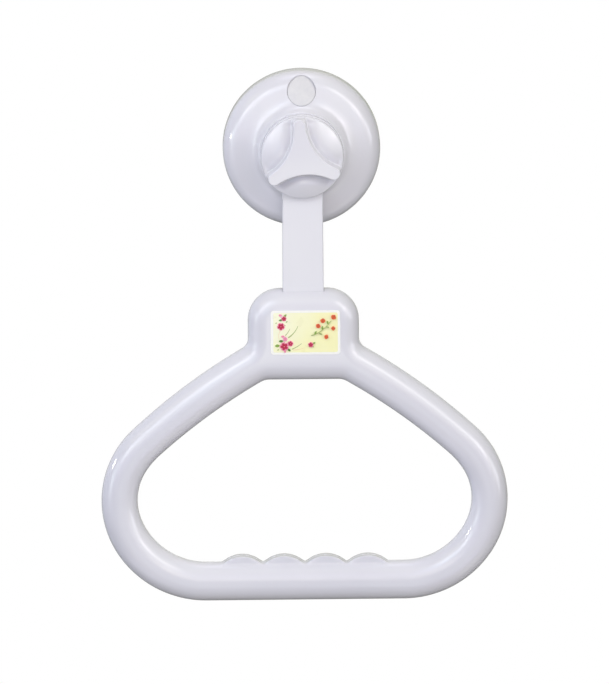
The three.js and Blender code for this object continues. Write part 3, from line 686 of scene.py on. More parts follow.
def handle_grid(K=46):
    """Stations round the loop, each a row of points from the outer outline to the inner one, with their heights."""
    if "grid" in _H:
        return _H["grid"]
    outer, inner = half_outline("outer", 0.4), half_outline("inner", 0.4)
    Lo, Li = arclen(outer), arclen(inner)
    # station spacing: finer on the small radii and along the finger scallops
    s = [0.0]
    rail_from = Lo[-1] - 52.0
    while s[-1] < Lo[-1]:
        c = s[-1]
        step = 1.7
        if 11 < c < 70:
            step = 1.0
        if c > rail_from:
            step = 0.62
        s.append(min(c + step, Lo[-1]))
    s = np.array(s)
    O = at_len(outer, Lo, s)
    # nearest inner point for the tube, a linear run along the flat lower edge for the block
    near = np.array([Li[np.argmin(((inner - p) ** 2).sum(1))] for p in O])
    fil = np.searchsorted(s, 13.11 + 18.4 * math.pi / 2 + 10.18 + 4.0)
    near[:fil] = near[fil] * (s[:fil] / s[fil])
    near[-1] = Li[-1]
    rail = s > rail_from + 4
    near[rail] = Li[-1] - (Lo[-1] - s[rail])
    near = np.maximum.accumulate(near)
    ker = np.hanning(9)
    ker /= ker.sum()
    pad = np.pad(near, 4, mode="edge")
    sm = np.convolve(pad, ker, "valid")
    w8 = np.clip((s - 6) / 20, 0, 1) * np.clip((Lo[-1] - s - 40) / 20, 0, 1)
    near = near * (1 - w8) + sm * w8
    I = at_len(inner, Li, near)
    O = mirrored(O)
    I = mirrored(I)
    w = np.linalg.norm(I - O, axis=1)
    u = np.linspace(0, 1, K + 1)
    on_rail = (O[:, 1] < -250) & (np.abs(O[:, 0]) < 62)
    gam = np.where(on_rail, np.clip((62 - np.abs(O[:, 0])) / 8, 0, 1), 0)
    theta_n = math.pi * u
    theta_r = math.pi * (0.3 * u + 0.7 * (1 - (1 - u) ** 2))
    theta = theta_n[None] * (1 - gam[:, None]) + theta_r[None] * gam[:, None]
    pos_n = 0.5 * w[:, None] * (1 - np.cos(theta))
    # wide stations: round edges and an even run between them
    tan_o = np.roll(O, -1, 0) - np.roll(O, 1, 0)
    tan_o /= np.linalg.norm(tan_o, axis=1)[:, None]
    d = (I - O) / w[:, None]
    obl = np.abs(tan_o[:, 0] * d[:, 1] - tan_o[:, 1] * d[:, 0])
    a_o = np.minimum(TUBE_R / np.maximum(obl, 0.35), 0.45 * w)
    tan_i = np.roll(I, -1, 0) - np.roll(I, 1, 0)
    tan_i /= np.maximum(np.linalg.norm(tan_i, axis=1), 1e-9)[:, None]
    obl_i = np.abs(tan_i[:, 0] * d[:, 1] - tan_i[:, 1] * d[:, 0])
    a_i = np.minimum(TUBE_R / np.maximum(obl_i, 0.35), 0.45 * w)
    k1 = 14
    pos_w = np.zeros_like(pos_n)
    for k in range(K + 1):
        if k <= k1:
            pos_w[:, k] = a_o * (1 - math.cos(0.5 * math.pi * k / k1))
        elif k >= K - k1:
            pos_w[:, k] = w - a_i * (1 - math.cos(0.5 * math.pi * (K - k) / k1))
        else:
            f = (k - k1) / (K - 2 * k1)
            pos_w[:, k] = a_o + f * (w - a_i - a_o)
    beta = np.clip((w / (2 * TUBE_R) - 1.05) / 0.35, 0, 1)
    beta = beta * beta * (3 - 2 * beta)
    pos = pos_n * (1 - beta[:, None]) + pos_w * beta[:, None]
    XY = O[:, None, :] + d[:, None, :] * pos[..., None]
    fine = [mirrored(half_outline("outer", 0.8)), mirrored(half_outline("inner", 0.8))]
    D = seg_distance(XY.reshape(-1, 2), fine).reshape(XY.shape[:2])
    D[:, 0] = 0
    D[:, -1] = 0
    aloc = np.minimum(TUBE_R, 0.5 * w)[:, None]
    q = np.clip(D / aloc, 0, 1)
    H = TUBE_R * np.sqrt(np.clip(1 - (1 - q) ** 2, 0, 1))
    _H["grid"] = (XY, H, O, I, w, gam)
    return _H["grid"]


def rib_push(XY, H):
    """Raises the finger rib out of the bottom rail: each point moves out along its ray from the rail's centre line."""
    x, y = XY[..., 0], XY[..., 1]
    m = (np.abs(x) < 60) & (y < -225)
    px, py, ph = x[m], y[m], H[m]
    dy, dh = py - RAIL_Y, ph
    r0 = np.hypot(dy, dh)
    uy, uh = dy / r0, dh / r0
    up = uy > -0.2
    lo, hi = r0.copy(), r0 + 9.0

    def field(r):
        yy, hh = RAIL_Y + uy * r, uh * r
        d2 = np.full_like(r, 1e9)
        for c in SCALLOP_X:
            d2 = smin(d2, np.hypot(px - c, yy - (SCALLOP_TOP - SCALLOP_R)) - SCALLOP_R, 0.5)
        er = 0.75
        qx, qh = d2 + er, hh - SCALLOP_HALF + er
        rib = np.hypot(np.maximum(qx, 0), np.maximum(qh, 0)) + np.minimum(np.maximum(qx, qh), 0) - er
        return smin(r - r0, rib, 1.0)

    for _ in range(26):
        mid = 0.5 * (lo + hi)
        inside = field(mid) < 0
        lo = np.where(inside, mid, lo)
        hi = np.where(inside, hi, mid)
    r = np.where(up, np.maximum(0.5 * (lo + hi), r0), r0)
    XY2, H2 = XY.copy(), H.copy()
    XY2[m, 1] = RAIL_Y + uy * r
    H2[m] = uh * r
    return XY2, H2


def build_shell(name, side, node):
    XY, H, O, I, w, gam = handle_grid()
    XY, H = rib_push(XY, H)
    n, K1 = H.shape
    K = K1 - 1
    chamf = 0.16
    Hc = np.maximum(H, SPLIT)
    verts, faces = [], []
    idx = np.zeros((n, K + 3), int)
    for i in range(n):
        for k in range(-1, K + 2):
            if k == -1 or k == K + 1:
                kk = 0 if k == -1 else K
                ref = 1 if k == -1 else K - 1
                p = XY[i, kk]
                q = XY[i, ref] - p
                q = q / max(np.linalg.norm(q), 1e-9)
                p = p + q * chamf
                h = SPLIT
            else:
                p = XY[i, k]
                h = Hc[i, k] if 0 < k < K else SPLIT + chamf
                h = max(h, SPLIT + chamf)
            idx[i, k + 1] = len(verts)
            verts.append((p[0], p[1], MID + side * h))
    for i in range(n):
        j = (i + 1) % n
        for k in range(K + 2):
            faces.append((idx[i, k], idx[i, k + 1], idx[j, k + 1], idx[j, k]))
        faces.append((idx[i, 0], idx[j, 0], idx[j, K + 2], idx[i, K + 2]))
    ob = make_object(name, verts, faces, 40)
    e = 0.14
    slot = box_obj("slot", -STRAP_HALF_END - e, STRAP_HALF_END + e, STRAP_END - 0.6, -70, STRAP_Z0 - e, STRAP_Z1 + e)
    boolean(ob, slot, sharp=40)
    if side < 0:
        for x, y in SCREWS:
            boolean(ob, turned("cb", [(0, MID - 16), (3.6, MID - 16), (3.25, MID - 10.65), (3.25, MID - 5), (0, MID - 5)], 48, x, y))
            boolean(ob, turned("cb2", [(0, MID - 6), (1.9, MID - 6), (1.9, MID + 4), (0, MID + 4)], 24, x, y))
        for y in BOLT_Y:
            boolean(ob, turned("cb", [(0, MID - 16), (5.0, MID - 16), (4.5, MID - 10.5), (4.5, MID - 6.4), (0, MID - 6.4)], 64, 0, y))
            boolean(ob, turned("cb2", [(0, MID - 7), (2.3, MID - 7), (2.3, MID + 4), (0, MID + 4)], 32, 0, y), sharp=40)
    else:
        for x, y in SCREWS:
            boolean(ob, turned("ph", [(0, MID - 1), (1.8, MID - 1), (1.8, MID + 7), (0, MID + 7)], 24, x, y))
        for y in BOLT_Y:
            boolean(ob, turned("np", [(0, MID + 4), (4.6, MID + 4), (4.6, MID + 8.5), (0, MID + 8.5)], 32, 0, y), sharp=40)
    return place(ob, MAT_ABS, "handle", "abs_white", node)


def build_fasteners():
    for i, y in enumerate(BOLT_Y, 1):
        prof = rounded([(0, MID - 9.7), (3.9, MID - 9.7, 0.5), (3.9, MID - 6.7, 0.1), (2.0, MID - 6.7), (2.0, MID + 8.0, 0.4), (0, MID + 8.0)], 4)
        ob = turned(f"bolt_{i}", prof, 64, 0, y)
        hexa = prism("hex", [(x, y + yy) for x, yy in arc(0, 0, 1.85, 0, 300, 5)], MID - 11, MID - 7.6)
        boolean(ob, hexa, sharp=30)
        place(ob, MAT_STEEL, "handle", "plated_steel", f"strap_bolt_{i}")
    for i, (x, y) in enumerate(SCREWS, 1):
        prof = rounded([(0, MID - 10.95), (1.6, MID - 10.9, 0.8), (2.95, MID - 10.55, 0.35), (2.95, MID - 8.2, 0.2), (2.4, MID - 7.8), (0, MID - 7.8)], 5)
        place(turned(f"plug_{i}", prof, 56, x, y), MAT_ABS, "handle", "abs_white", f"screw_plug_{i}")


def build_pad():
    prof = rounded([
        (0, 0), (42.9, 0, 0.3), (43.4, 0.6, 0.5), (43.4, 1.7, 0.5), (42.9, 2.3, 0.4), (41.3, 2.3, 0.5), (40.6, 3.9, 0.6), (24.5, 3.9, 1.0), (23.2, 3.0, 1.5),
        (18, 3.0, 1.5), (16.5, 4.5, 1.5), (16, 8.6, 0.4), (15.6, 9, 0.3), (11, 9, 0.3), (11, 7.5, 0.1), (13.3, 7.5, 0.1), (13.3, 5.6, 0.1), (8.4, 5.6, 0.1), (8.4, 3.0, 0.1), (0, 3.0)], 4)
    # extra rings on the flat wall face
    prof = [(0, 0)] + [(r, 0.0) for r in (8, 14, 18, 22, 26, 30, 34, 38, 41)] + prof[1:]
    ob = turned("pad_soft", prof, 160)
    boolean(ob, turned("v1", [(0, -1), (2.6, -1), (2.6, 6), (0, 6)], 32, 0, BTN_Y))
    boolean(ob, turned("v2", [(0, -1), (5.5, -1), (5.5, 3.0), (0, 3.0)], 48, 0, BTN_Y), sharp=40)
    give(ob, MAT_PVC)
    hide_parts("suction_pad")
    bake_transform(ob)
    seal = turned("seal_soft", rounded([(1.3, 1.9, 0.1), (5.0, 1.9, 0.25), (5.0, 2.4, 0.2), (4.5, 2.7, 0.2), (1.3, 2.7, 0.1)], 3, closed=True), 56, 0, BTN_Y)
    place(seal, MAT_RUBBER, "button", "dark_rubber", "vent_seal")


# ------------------------------------------------------------------ springs
def coil(name, r, wire, h0, h1, turns, node, cy=0.0, per=40, sides=10):
    """Compression spring with its end coils closed."""
    a = wire / 2
    n = int(turns * per)
    span = h1 - h0 - wire
    lift = []
    for i in range(n + 1):
        u = i / per
        lift.append(min(u, 1.0) * wire * 0.9 + max(0.0, min(u - 1.0, turns - 2.0)) * (span - 1.8 * wire) / (turns - 2.0) + max(0.0, u - turns + 1.0) * wire * 0.9)
    k = np.hanning(per // 2 + 1)
    k /= k.sum()
    lift = np.convolve(np.pad(lift, len(k) // 2, mode="reflect", reflect_type="odd"), k, "valid")
    verts, faces = [], []
    for i in range(n + 1):
        t = 2 * math.pi * i / per
        c, s = math.cos(t), math.sin(t)
        # both ends are ground: the wire thins towards its cut
        thin = min(1.0, 0.45 + 0.55 * min(i, n - i) / (0.5 * per))
        for j in range(sides):
            b = 2 * math.pi * j / sides
            rr = r + a * math.cos(b)
            verts.append((rr * c, cy + rr * s, h0 + a + lift[i] + a * thin * math.sin(b)))
    for i in range(n):
        for j in range(sides):
            q = (j + 1) % sides
            faces.append((i * sides + j, i * sides + q, (i + 1) * sides + q, (i + 1) * sides + j))
    faces.append(tuple(range(sides)))
    faces.append(tuple(reversed(range(n * sides, (n + 1) * sides))))
    ob = make_object(name, verts, faces, 50)
    give(ob, MAT_SPRING)
    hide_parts(node)
    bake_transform(ob)
    return ob


def build_springs():
    coil("return_coil", 9.2, 1.3, 7.55, 29.4, 6, "return_spring")
    coil("button_coil", 3.35, 0.6, 8.95, 12.9, 4, "button_spring", BTN_Y, 28, 8)


# ------------------------------------------------------------------ label
def flat_material(name, colour, rough=0.32, vary=0.06):
    m, nt, bs, tc = new_material(name)
    n = noise(nt, tc, 420.0, 4.0, 0.6)
    c1 = tuple(min(1.0, c * (1 + vary)) for c in colour)
    c0 = tuple(c * (1 - vary) for c in colour)
    mix = mix_colour(nt, ranged(nt, n.outputs["Fac"], 0, 1).outputs["Result"], c0, c1)
    nt.links.new(mix.outputs[2], bs.inputs["Base Color"])
    g = noise(nt, tc, 160.0, 3.0, 0.5)
    nt.links.new(ranged(nt, g.outputs["Fac"], rough - 0.05, rough + 0.06).outputs["Result"], bs.inputs["Roughness"])
    return m


def panel_material():
    """Pale yellow print that fades to cream on the left."""
    m, nt, bs, tc = new_material("label_panel")
    sep = nt.nodes.new("ShaderNodeSeparateXYZ")
    nt.links.new(tc.outputs["Object"], sep.inputs[0])
    gx = ranged(nt, sep.outputs["X"], 0.0, 1.0, (LABEL_X - 14) / 1000, (LABEL_X + 8) / 1000)
    gz = ranged(nt, sep.outputs["Z"], 0.55, 0.0, (LABEL_Y - 12) / 1000, (LABEL_Y - 2) / 1000)
    cloud = noise(nt, tc, 70.0, 3.0, 0.5, 0.3)
    add = nt.nodes.new("ShaderNodeMath")
    add.operation = "ADD"
    add.use_clamp = True
    nt.links.new(gx.outputs["Result"], add.inputs[0])
    nt.links.new(gz.outputs["Result"], add.inputs[1])
    mul = nt.nodes.new("ShaderNodeMath")
    mul.operation = "MULTIPLY"
    nt.links.new(add.outputs[0], mul.inputs[0])
    nt.links.new(ranged(nt, cloud.outputs["Fac"], 0.75, 1.1, 0.35, 0.65).outputs["Result"], mul.inputs[1])
    mix = mix_colour(nt, mul.outputs[0], (1.0, 1.0, 0.76), (1.0, 0.985, 0.56))
    nt.links.new(mix.outputs[2], bs.inputs["Base Color"])
    g = noise(nt, tc, 160.0, 3.0, 0.5)
    nt.links.new(ranged(nt, g.outputs["Fac"], 0.26, 0.36).outputs["Result"], bs.inputs["Roughness"])
    return m


class Art:
    """Thin printed shapes stacked on the label, all in one mesh."""

    def __init__(self):
        self.v, self.f, self.m = [], [], []
        self.layer = 0

    def shape(self, pts, mat, top):
        n = len(pts)
        b = len(self.v)
        base = MID + TUBE_R + 0.02
        self.v += [(LABEL_X + x, LABEL_Y + y, base) for x, y in pts] + [(LABEL_X + x, LABEL_Y + y, top) for x, y in pts]
        self.f.append(tuple(range(b + n - 1, b - 1, -1)))
        self.f.append(tuple(range(b + n, b + 2 * n)))
        self.f += [(b + i, b + (i + 1) % n, b + n + (i + 1) % n, b + n + i) for i in range(n)]
        self.m += [mat] * (n + 2)

    def up(self):
        self.layer += 1
        return MID + TUBE_R + 0.24 + 0.006 * self.layer


def petal(cx, cy, length, width, angle, n=14, notch=0.0):
    pts = []
    for i in range(n):
        t = 2 * math.pi * i / n
        x = 0.5 * length * (1 - math.cos(t))
        y = 0.5 * width * math.sin(t) * (0.55 + 0.45 * (x / length)) * 1.25
        if notch and abs(t - math.pi) < 0.3:
            x -= notch
        c, s = math.cos(angle * RAD), math.sin(angle * RAD)
        pts.append((cx + x * c - y * s, cy + x * s + y * c))
    return pts


def leaf(cx, cy, length, width, angle, n=7):
    up = [(length * i / n, 0.5 * width * math.sin(math.pi * i / n) ** 0.9) for i in range(n + 1)]
    dn = [(x, -y) for x, y in up[1:-1]][::-1]
    c, s = math.cos(angle * RAD), math.sin(angle * RAD)
    return [(cx + x * c - y * s, cy + x * s + y * c) for x, y in up + dn]


def stem(p0, p1, p2, w0, w1, n=12):
    left, right = [], []
    for i in range(n + 1):
        t = i / n
        x = (1 - t) ** 2 * p0[0] + 2 * t * (1 - t) * p1[0] + t * t * p2[0]
        y = (1 - t) ** 2 * p0[1] + 2 * t * (1 - t) * p1[1] + t * t * p2[1]
        dx = 2 * (1 - t) * (p1[0] - p0[0]) + 2 * t * (p2[0] - p1[0])
        dy = 2 * (1 - t) * (p1[1] - p0[1]) + 2 * t * (p2[1] - p1[1])
        l = math.hypot(dx, dy)
        w = 0.5 * (w0 + (w1 - w0) * t)
        left.append((x - dy / l * w, y + dx / l * w))
        right.append((x + dy / l * w, y - dx / l * w))
    return left + right[::-1]


def build_label():
    a = Art()
    WHITE, PANEL, MAG, PINK, PALE, GREEN, DARKG, OLIVE, PEACH, RED, ORANGE = range(11)
    w, h, r = LABEL_W / 2, LABEL_H / 2, LABEL_R

    def rect(w, h, r, k=8):
        return arc(w - r, h - r, r, 0, 90, k) + arc(-w + r, h - r, r, 90, 180, k) + arc(-w + r, -h + r, r, 180, 270, k) + arc(w - r, -h + r, r, 270, 360, k)

    a.shape(rect(w, h, r), WHITE, MID + TUBE_R + 0.2)
    a.shape(rect(w - 1.35, h - 1.25, 1.1), PANEL, MID + TUBE_R + 0.22)

    def blossom(cx, cy, rad, turn, outer=PINK, inner=MAG):
        for k in range(5):
            a.shape(petal(cx, cy, rad * 1.08, rad * 0.95, turn + 72 * k, notch=rad * 0.1), outer, a.up())
        for k in range(5):
            a.shape(petal(cx, cy, rad * 0.84, rad * 0.62, turn + 72 * k + 6), inner, a.up())
        a.shape(arc(cx, cy, rad * 0.36, 0, 330, 11), inner, a.up())
        a.shape(arc(cx, cy, rad * 0.09, 0, 300, 5), PALE, a.up())

    # stems and blades first, flowers over them
    a.shape(stem((-7.6, -9.4), (-4.6, -8.2), (-2.2, -6.2), 0.55, 0.25), OLIVE, a.up())
    a.shape(stem((-9.7, -2.9), (-6.0, -0.6), (-4.2, 3.7), 0.75, 0.3), OLIVE, a.up())
    a.shape(stem((-11.3, -1.6), (-9.6, 0.0), (-8.7, 2.3), 0.5, 0.2), OLIVE, a.up())
    a.shape(stem((-14.0, 1.2), (-15.6, -1.2), (-14.6, -4.0), 0.3, 0.15), PEACH, a.up())
    a.shape(stem((-7.0, -9.8), (-3.5, -9.9), (-0.6, -8.6), 0.3, 0.12), PEACH, a.up())
    # upper spray
    a.shape(leaf(-12.4, 8.4, 2.8, 1.3, 48), GREEN, a.up())
    a.shape(leaf(-15.0, 6.9, 2.4, 1.2, 8), DARKG, a.up())
    a.shape(leaf(-11.0, 5.7, 1.4, 0.7, 40), OLIVE, a.up())
    a.shape(leaf(-16.9, 5.3, 1.2, 0.6, 20), OLIVE, a.up())
    a.shape(leaf(-12.2, 4.4, 1.3, 0.6, -20), OLIVE, a.up())
    a.shape(petal(-14.9, 10.3, 2.2, 1.5, -30), PINK, a.up())
    a.shape(petal(-13.6, 9.9, 1.8, 1.2, -80), PALE, a.up())
    blossom(-12.0, 7.9, 1.45, 20, PINK, MAG)
    blossom(-13.7, 3.5, 2.15, 50, PINK, MAG)
    # lower spray
    a.shape(leaf(-15.0, -4.9, 2.7, 1.4, 5), DARKG, a.up())
    a.shape(leaf(-17.2, -7.5, 2.8, 1.7, 4), GREEN, a.up())
    a.shape(leaf(-10.2, -9.0, 2.4, 1.3, -40), DARKG, a.up())
    a.shape(leaf(-15.9, -10.0, 1.2, 0.7, 30), OLIVE, a.up())
    a.shape(petal(-13.7, -2.0, 1.9, 1.3, -10), PINK, a.up())
    blossom(-11.4, -3.6, 1.35, 10, PALE, PINK)
    blossom(-8.5, -6.2, 1.6, 75, PINK, MAG)
    blossom(-11.9, -7.8, 2.45, 34, PINK, MAG)
    a.shape(petal(-11.6, -9.7, 1.6, 1.2, -85), PINK, a.up())
    # single bloom in the middle of the lower edge
    a.shape(leaf(3.6, -6.6, 2.1, 1.0, 28), GREEN, a.up())
    a.shape(leaf(3.6, -7.3, 1.5, 0.8, -48), OLIVE, a.up())
    blossom(2.9, -6.9, 1.5, 15, PINK, MAG)
    # plain sprig of warm buds and leaves on the right
    a.shape(stem((3.2, -1.6), (8.6, -0.8), (14.4, 6.6), 0.5, 0.22), OLIVE, a.up())
    for (x, y, L, ang) in [(5.0, -1.2, 3.0, 62), (7.4, -0.2, 3.0, -28), (9.4, 1.3, 3.1, 88), (11.2, 3.1, 2.8, -8), (12.6, 4.6, 2.6, 104)]:
        a.shape(leaf(x, y, L * 0.8, 0.95, ang), GREEN if ang > 0 else OLIVE, a.up())
    for (x, y, rad, ang) in [(6.6, 2.6, 2.0, 66), (10.6, -1.9, 1.9, -30), (9.6, 5.4, 2.1, 84), (14.4, 2.4, 1.8, -6), (14.9, 7.6, 2.2, 52)]:
        a.shape(petal(x, y, rad * 1.1, rad * 0.8, ang - 24), ORANGE, a.up())
        a.shape(petal(x, y, rad * 1.1, rad * 0.8, ang + 24), ORANGE, a.up())
        a.shape(petal(x, y, rad * 1.25, rad * 0.75, ang), RED, a.up())
    ob = make_object("label_print", a.v, a.f, smooth=False)
    me = ob.data
    me.materials.clear()
    for m in (
        flat_material("label_border", (1.0, 1.0, 0.975), 0.3, 0.005), panel_material(), flat_material("ink_magenta", (0.52, 0.006, 0.06)),
        flat_material("ink_pink", (0.90, 0.28, 0.46)), flat_material("ink_pale", (0.92, 0.55, 0.66)), flat_material("ink_green", (0.26, 0.42, 0.07)),
        flat_material("ink_dark_green", (0.10, 0.24, 0.04)), flat_material("ink_olive", (0.47, 0.55, 0.21)), flat_material("ink_peach", (0.90, 0.66, 0.42)),
        flat_material("ink_red", (0.68, 0.09, 0.03)), flat_material("ink_orange", (0.85, 0.18, 0.05)),
    ):
        me.materials.append(m)
    for p, k in zip(me.polygons, a.m):
        p.material_index = k
    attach(ob, "handle")
    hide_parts("label")
    return ob


# ------------------------------------------------------------------ camera, light, stage
# azimuth (0 in front, positive to the right) and elevation in degrees, tightness, linear colour
SOFT_BOXES = [
    (70, 38, 6, 0.342, 0.385, 0.203),
    (0, -80, 4, 0.536, 0.544, 0.484),
    (180, 20, 3, 0.525, 0.542, 0.438),
    (-120, 10, 6, 0.727, 0.729, 0.858),
    (180, 70, 6, 0.339, 0.26, 0.28),
    (-60, -50, 60, 0.973, 0.912, 1.069),
    (-30, -50, 60, 1.088, 1.06, 1.198),
    (30, -50, 60, 0.256, 0.177, 0.088),
    (60, -50, 60, 0.995, 0.989, 0.845),
    (-22, -30, 60, 0.476, 0.419, 0.308),
    (22, -30, 60, 1, 0.902, 1.187),
    (-80, -12, 60, 0.9, 0.836, 0.887),
    (-60, -12, 60, 0.342, 0.319, 0.42),
    (0, -12, 60, 0.228, 0.282, 0.25),
    (40, -12, 60, 0.18, 0.207, 0.254),
    (-72, 5, 60, 2.921, 3.269, 3.362),
    (-54, 5, 60, 0.296, 0.312, 0.579),
    (-36, 5, 60, 0.301, 0.194, 0.427),
    (-18, 5, 60, 0.164, 0.147, 0.443),
    (36, 5, 60, 1.161, 1.138, 1.335),
    (54, 5, 60, 0.814, 0.868, 0.782),
    (72, 5, 60, 3.688, 3.728, 4.098),
    (-54, 22, 60, 3.431, 3.545, 3.857),
    (-36, 22, 60, 0.494, 0.562, 0.578),
    (-18, 22, 60, 0.903, 0.79, 0.649),
    (18, 22, 60, 1.293, 1.112, 1.004),
    (36, 22, 60, 0.559, 0.68, 0.587),
    (54, 22, 60, 5.107, 4.801, 5.077),
    (-80, 40, 60, 1.139, 1.071, 0.618),
    (-40, 40, 60, 3.015, 3.367, 3.646),
    (-20, 40, 60, 1.196, 1.377, 1.716),
    (0, 40, 60, 0.814, 0.724, 0.796),
    (20, 40, 60, 0, 0.096, 0.191),
    (40, 40, 60, 3.793, 3.613, 3.567),
    (-150, 76, 40, 1.079, 1.114, 1.482),
    (150, 76, 40, 1.461, 1.562, 1.585),
    (0, -25, 60, 0.773, 0.786, 0.773),
]
# near panels: azimuth, elevation, distance and side in metres, watts, colour
PANELS = [
    (0, 60, 0.55, 0.3, 0.127, 1, 0.988, 0.778),
    (-45, 45, 0.55, 0.3, 0.157, 1, 0.785, 0.598),
    (-50, 20, 0.55, 0.3, 0.174, 1, 0.969, 0.839),
    (0, 45, 0.4, 0.2, 0.021, 1, 0.769, 0.049),
    (0, 10, 0.35, 0.12, 0.027, 1, 0.82, 0.99),
    (0, -10, 0.35, 0.12, 0.06, 1, 0.955, 0.802),
    (-30, 10, 0.35, 0.12, 0.026, 0.248, 0.802, 1),
]
LIGHT_LEVEL = 1.015


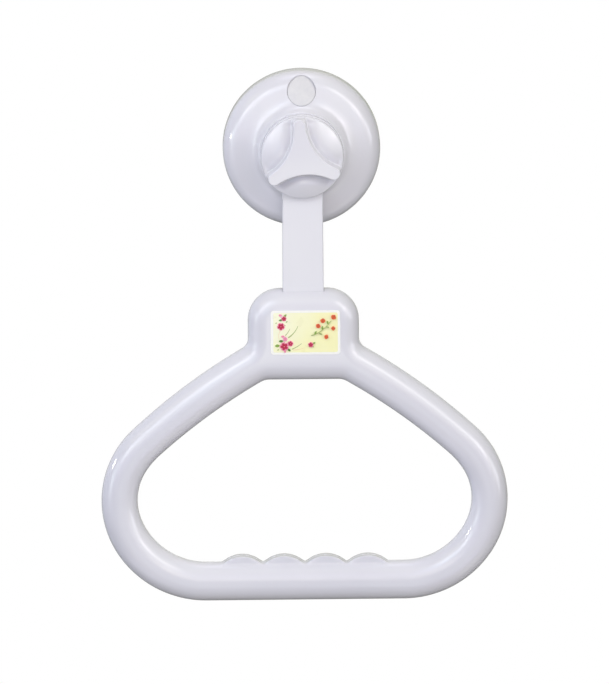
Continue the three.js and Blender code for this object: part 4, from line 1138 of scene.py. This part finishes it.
def build_studio():
    sc = bpy.context.scene
    sc.view_settings.view_transform = "Standard"
    sc.view_settings.look = "None"
    cam = bpy.data.objects.new("camera", bpy.data.cameras.new("camera"))
    sc.collection.objects.link(cam)
    cam.data.sensor_width = 36.0
    cam.data.lens = 6000.0 / 0.56 / 684.0 * 36.0
    cam.data.clip_end = 50.0
    elev = 11.0 * RAD
    look, az = Vector((0.000605, -0.031, -0.106928)), -0.8 * RAD
    away = Vector((math.sin(az) * math.cos(elev), -math.cos(az) * math.cos(elev), math.sin(elev)))
    cam.matrix_world = Matrix.Translation(look + 6.0 * away) @ Matrix.Rotation(az, 4, "Z") @ Matrix.Rotation(math.pi / 2 - elev, 4, "X") @ Matrix.Rotation(-0.42 * RAD, 4, "Z")
    sc.camera = cam
    # floor: white to the camera, out of the object's own light
    me = bpy.data.meshes.new("floor")
    me.from_pydata([(-4.0, -4.0, -0.62), (4.0, -4.0, -0.62), (4.0, 4.0, -0.62), (-4.0, 4.0, -0.62)], [], [(0, 1, 2, 3)])
    floor = bpy.data.objects.new("floor", me)
    sc.collection.objects.link(floor)
    m = bpy.data.materials.new("floor_white")
    m.use_nodes = True
    nt = m.node_tree
    nt.nodes.clear()
    out = nt.nodes.new("ShaderNodeOutputMaterial")
    em = nt.nodes.new("ShaderNodeEmission")
    em.inputs["Color"].default_value = (1, 1, 1, 1)
    em.inputs["Strength"].default_value = 1.0
    nt.links.new(em.outputs[0], out.inputs["Surface"])
    me.materials.append(m)
    floor.visible_diffuse = False
    floor.visible_glossy = False
    floor.visible_transmission = False
    floor.visible_shadow = False
    # surroundings: soft boxes in front and above; the camera itself sees plain white paper
    wd = bpy.data.worlds.new("studio")
    sc.world = wd
    wd.use_nodes = True
    nt = wd.node_tree
    nt.nodes.clear()
    out = nt.nodes.new("ShaderNodeOutputWorld")
    bg = nt.nodes.new("ShaderNodeBackground")
    tc = nt.nodes.new("ShaderNodeTexCoord")
    total = None
    for az, el, power, r, g, b in SOFT_BOXES:
        a, e = az * RAD, el * RAD
        dot = nt.nodes.new("ShaderNodeVectorMath")
        dot.operation = "DOT_PRODUCT"
        dot.inputs[1].default_value = (math.sin(a) * math.cos(e), -math.cos(a) * math.cos(e), math.sin(e))
        nt.links.new(tc.outputs["Generated"], dot.inputs[0])
        top = nt.nodes.new("ShaderNodeMath")
        top.operation = "MAXIMUM"
        top.inputs[1].default_value = 0.0
        nt.links.new(dot.outputs["Value"], top.inputs[0])
        pw = nt.nodes.new("ShaderNodeMath")
        pw.operation = "POWER"
        pw.inputs[1].default_value = power
        nt.links.new(top.outputs[0], pw.inputs[0])
        sc_ = nt.nodes.new("ShaderNodeVectorMath")
        sc_.operation = "SCALE"
        sc_.inputs[0].default_value = (r, g, b)
        nt.links.new(pw.outputs[0], sc_.inputs["Scale"])
        if total is None:
            total = sc_
        else:
            add = nt.nodes.new("ShaderNodeVectorMath")
            add.operation = "ADD"
            nt.links.new(total.outputs[0], add.inputs[0])
            nt.links.new(sc_.outputs[0], add.inputs[1])
            total = add
    nt.links.new(total.outputs[0], bg.inputs["Color"])
    bg.inputs["Strength"].default_value = LIGHT_LEVEL
    paper = nt.nodes.new("ShaderNodeBackground")
    paper.inputs["Color"].default_value = (1, 1, 1, 1)
    seen = nt.nodes.new("ShaderNodeLightPath")
    pick = nt.nodes.new("ShaderNodeMixShader")
    nt.links.new(seen.outputs["Is Camera Ray"], pick.inputs[0])
    nt.links.new(bg.outputs[0], pick.inputs[1])
    nt.links.new(paper.outputs[0], pick.inputs[2])
    nt.links.new(pick.outputs[0], out.inputs["Surface"])

    def area(name, loc, target, size, power, colour, size_y=None):
        li = bpy.data.lights.new(name, "AREA")
        li.shape = "RECTANGLE"
        li.size = size
        li.size_y = size_y or size
        li.energy = power
        li.color = colour
        ob = bpy.data.objects.new(name, li)
        ob.location = loc
        d = Vector(target) - Vector(loc)
        ob.rotation_euler = d.to_track_quat("-Z", "Y").to_euler()
        ob.visible_camera = False
        sc.collection.objects.link(ob)
        return ob

    middle = Vector((0, -0.03, -0.06))
    for i, (az, el, dist, side, watts, r, g, b) in enumerate(PANELS):
        a, e = az * RAD, el * RAD
        d = Vector((math.sin(a) * math.cos(e), -math.cos(a) * math.cos(e), math.sin(e)))
        area(f"panel_{i}", middle + dist * d, middle, side, watts, (r, g, b))
    # small lamps on the left, each narrowed to the one bend it glints on
    for name, spot, way, cone, radius, watts in [
        ("rim", (-0.0395, -0.0196, 0.0083), (-0.999, -0.031, 0.039), 5.0, 0.007, 0.17),
        ("loop", (-0.1061, -0.0408, -0.1728), (-0.947, 0.202, 0.249), 10.0, 0.010, 0.28),
        ("bend", (0.0917, -0.0427, -0.2145), (-0.923, -0.145, 0.357), 8.0, 0.008, 0.2),
    ]:
        li = bpy.data.lights.new("glint_" + name, "SPOT")
        li.energy, li.shadow_soft_size, li.color = watts, radius, (0.98, 0.99, 1.0)
        li.spot_size, li.spot_blend = cone * RAD, 0.3
        ob = bpy.data.objects.new("glint_" + name, li)
        ob.location = Vector(spot) + 0.2 * Vector(way)
        ob.rotation_euler = (-Vector(way)).to_track_quat("-Z", "Y").to_euler()
        ob.visible_camera = False
        ob.visible_diffuse = False
        sc.collection.objects.link(ob)


build_studio()
build_cover()
build_button()
build_knob()
build_strap()
build_shell("handle_front", 1, "handle_front_shell")
build_shell("handle_rear", -1, "handle_rear_shell")
build_fasteners()
build_pad()
build_springs()
build_label()

CARRIED = {
    "pad_insert_plate": MAT_STEEL, "threaded_post": MAT_ACETAL, "friction_washer": MAT_RUBBER,
    "thrust_washer": MAT_ACETAL, "knob_nut": MAT_BRASS, "button_clip": MAT_SPRING,
    "strap_nut_1": MAT_STEEL, "strap_nut_2": MAT_STEEL, **{f"shell_screw_{i}": MAT_STEEL for i in range(1, 7)},
}
for node, mat in CARRIED.items():
    ob = frame["nodes"][node]
    if ob.material_slots:
        for s in ob.material_slots:
            s.link = "OBJECT"
            s.material = mat
    else:
        ob.data.materials.append(mat)
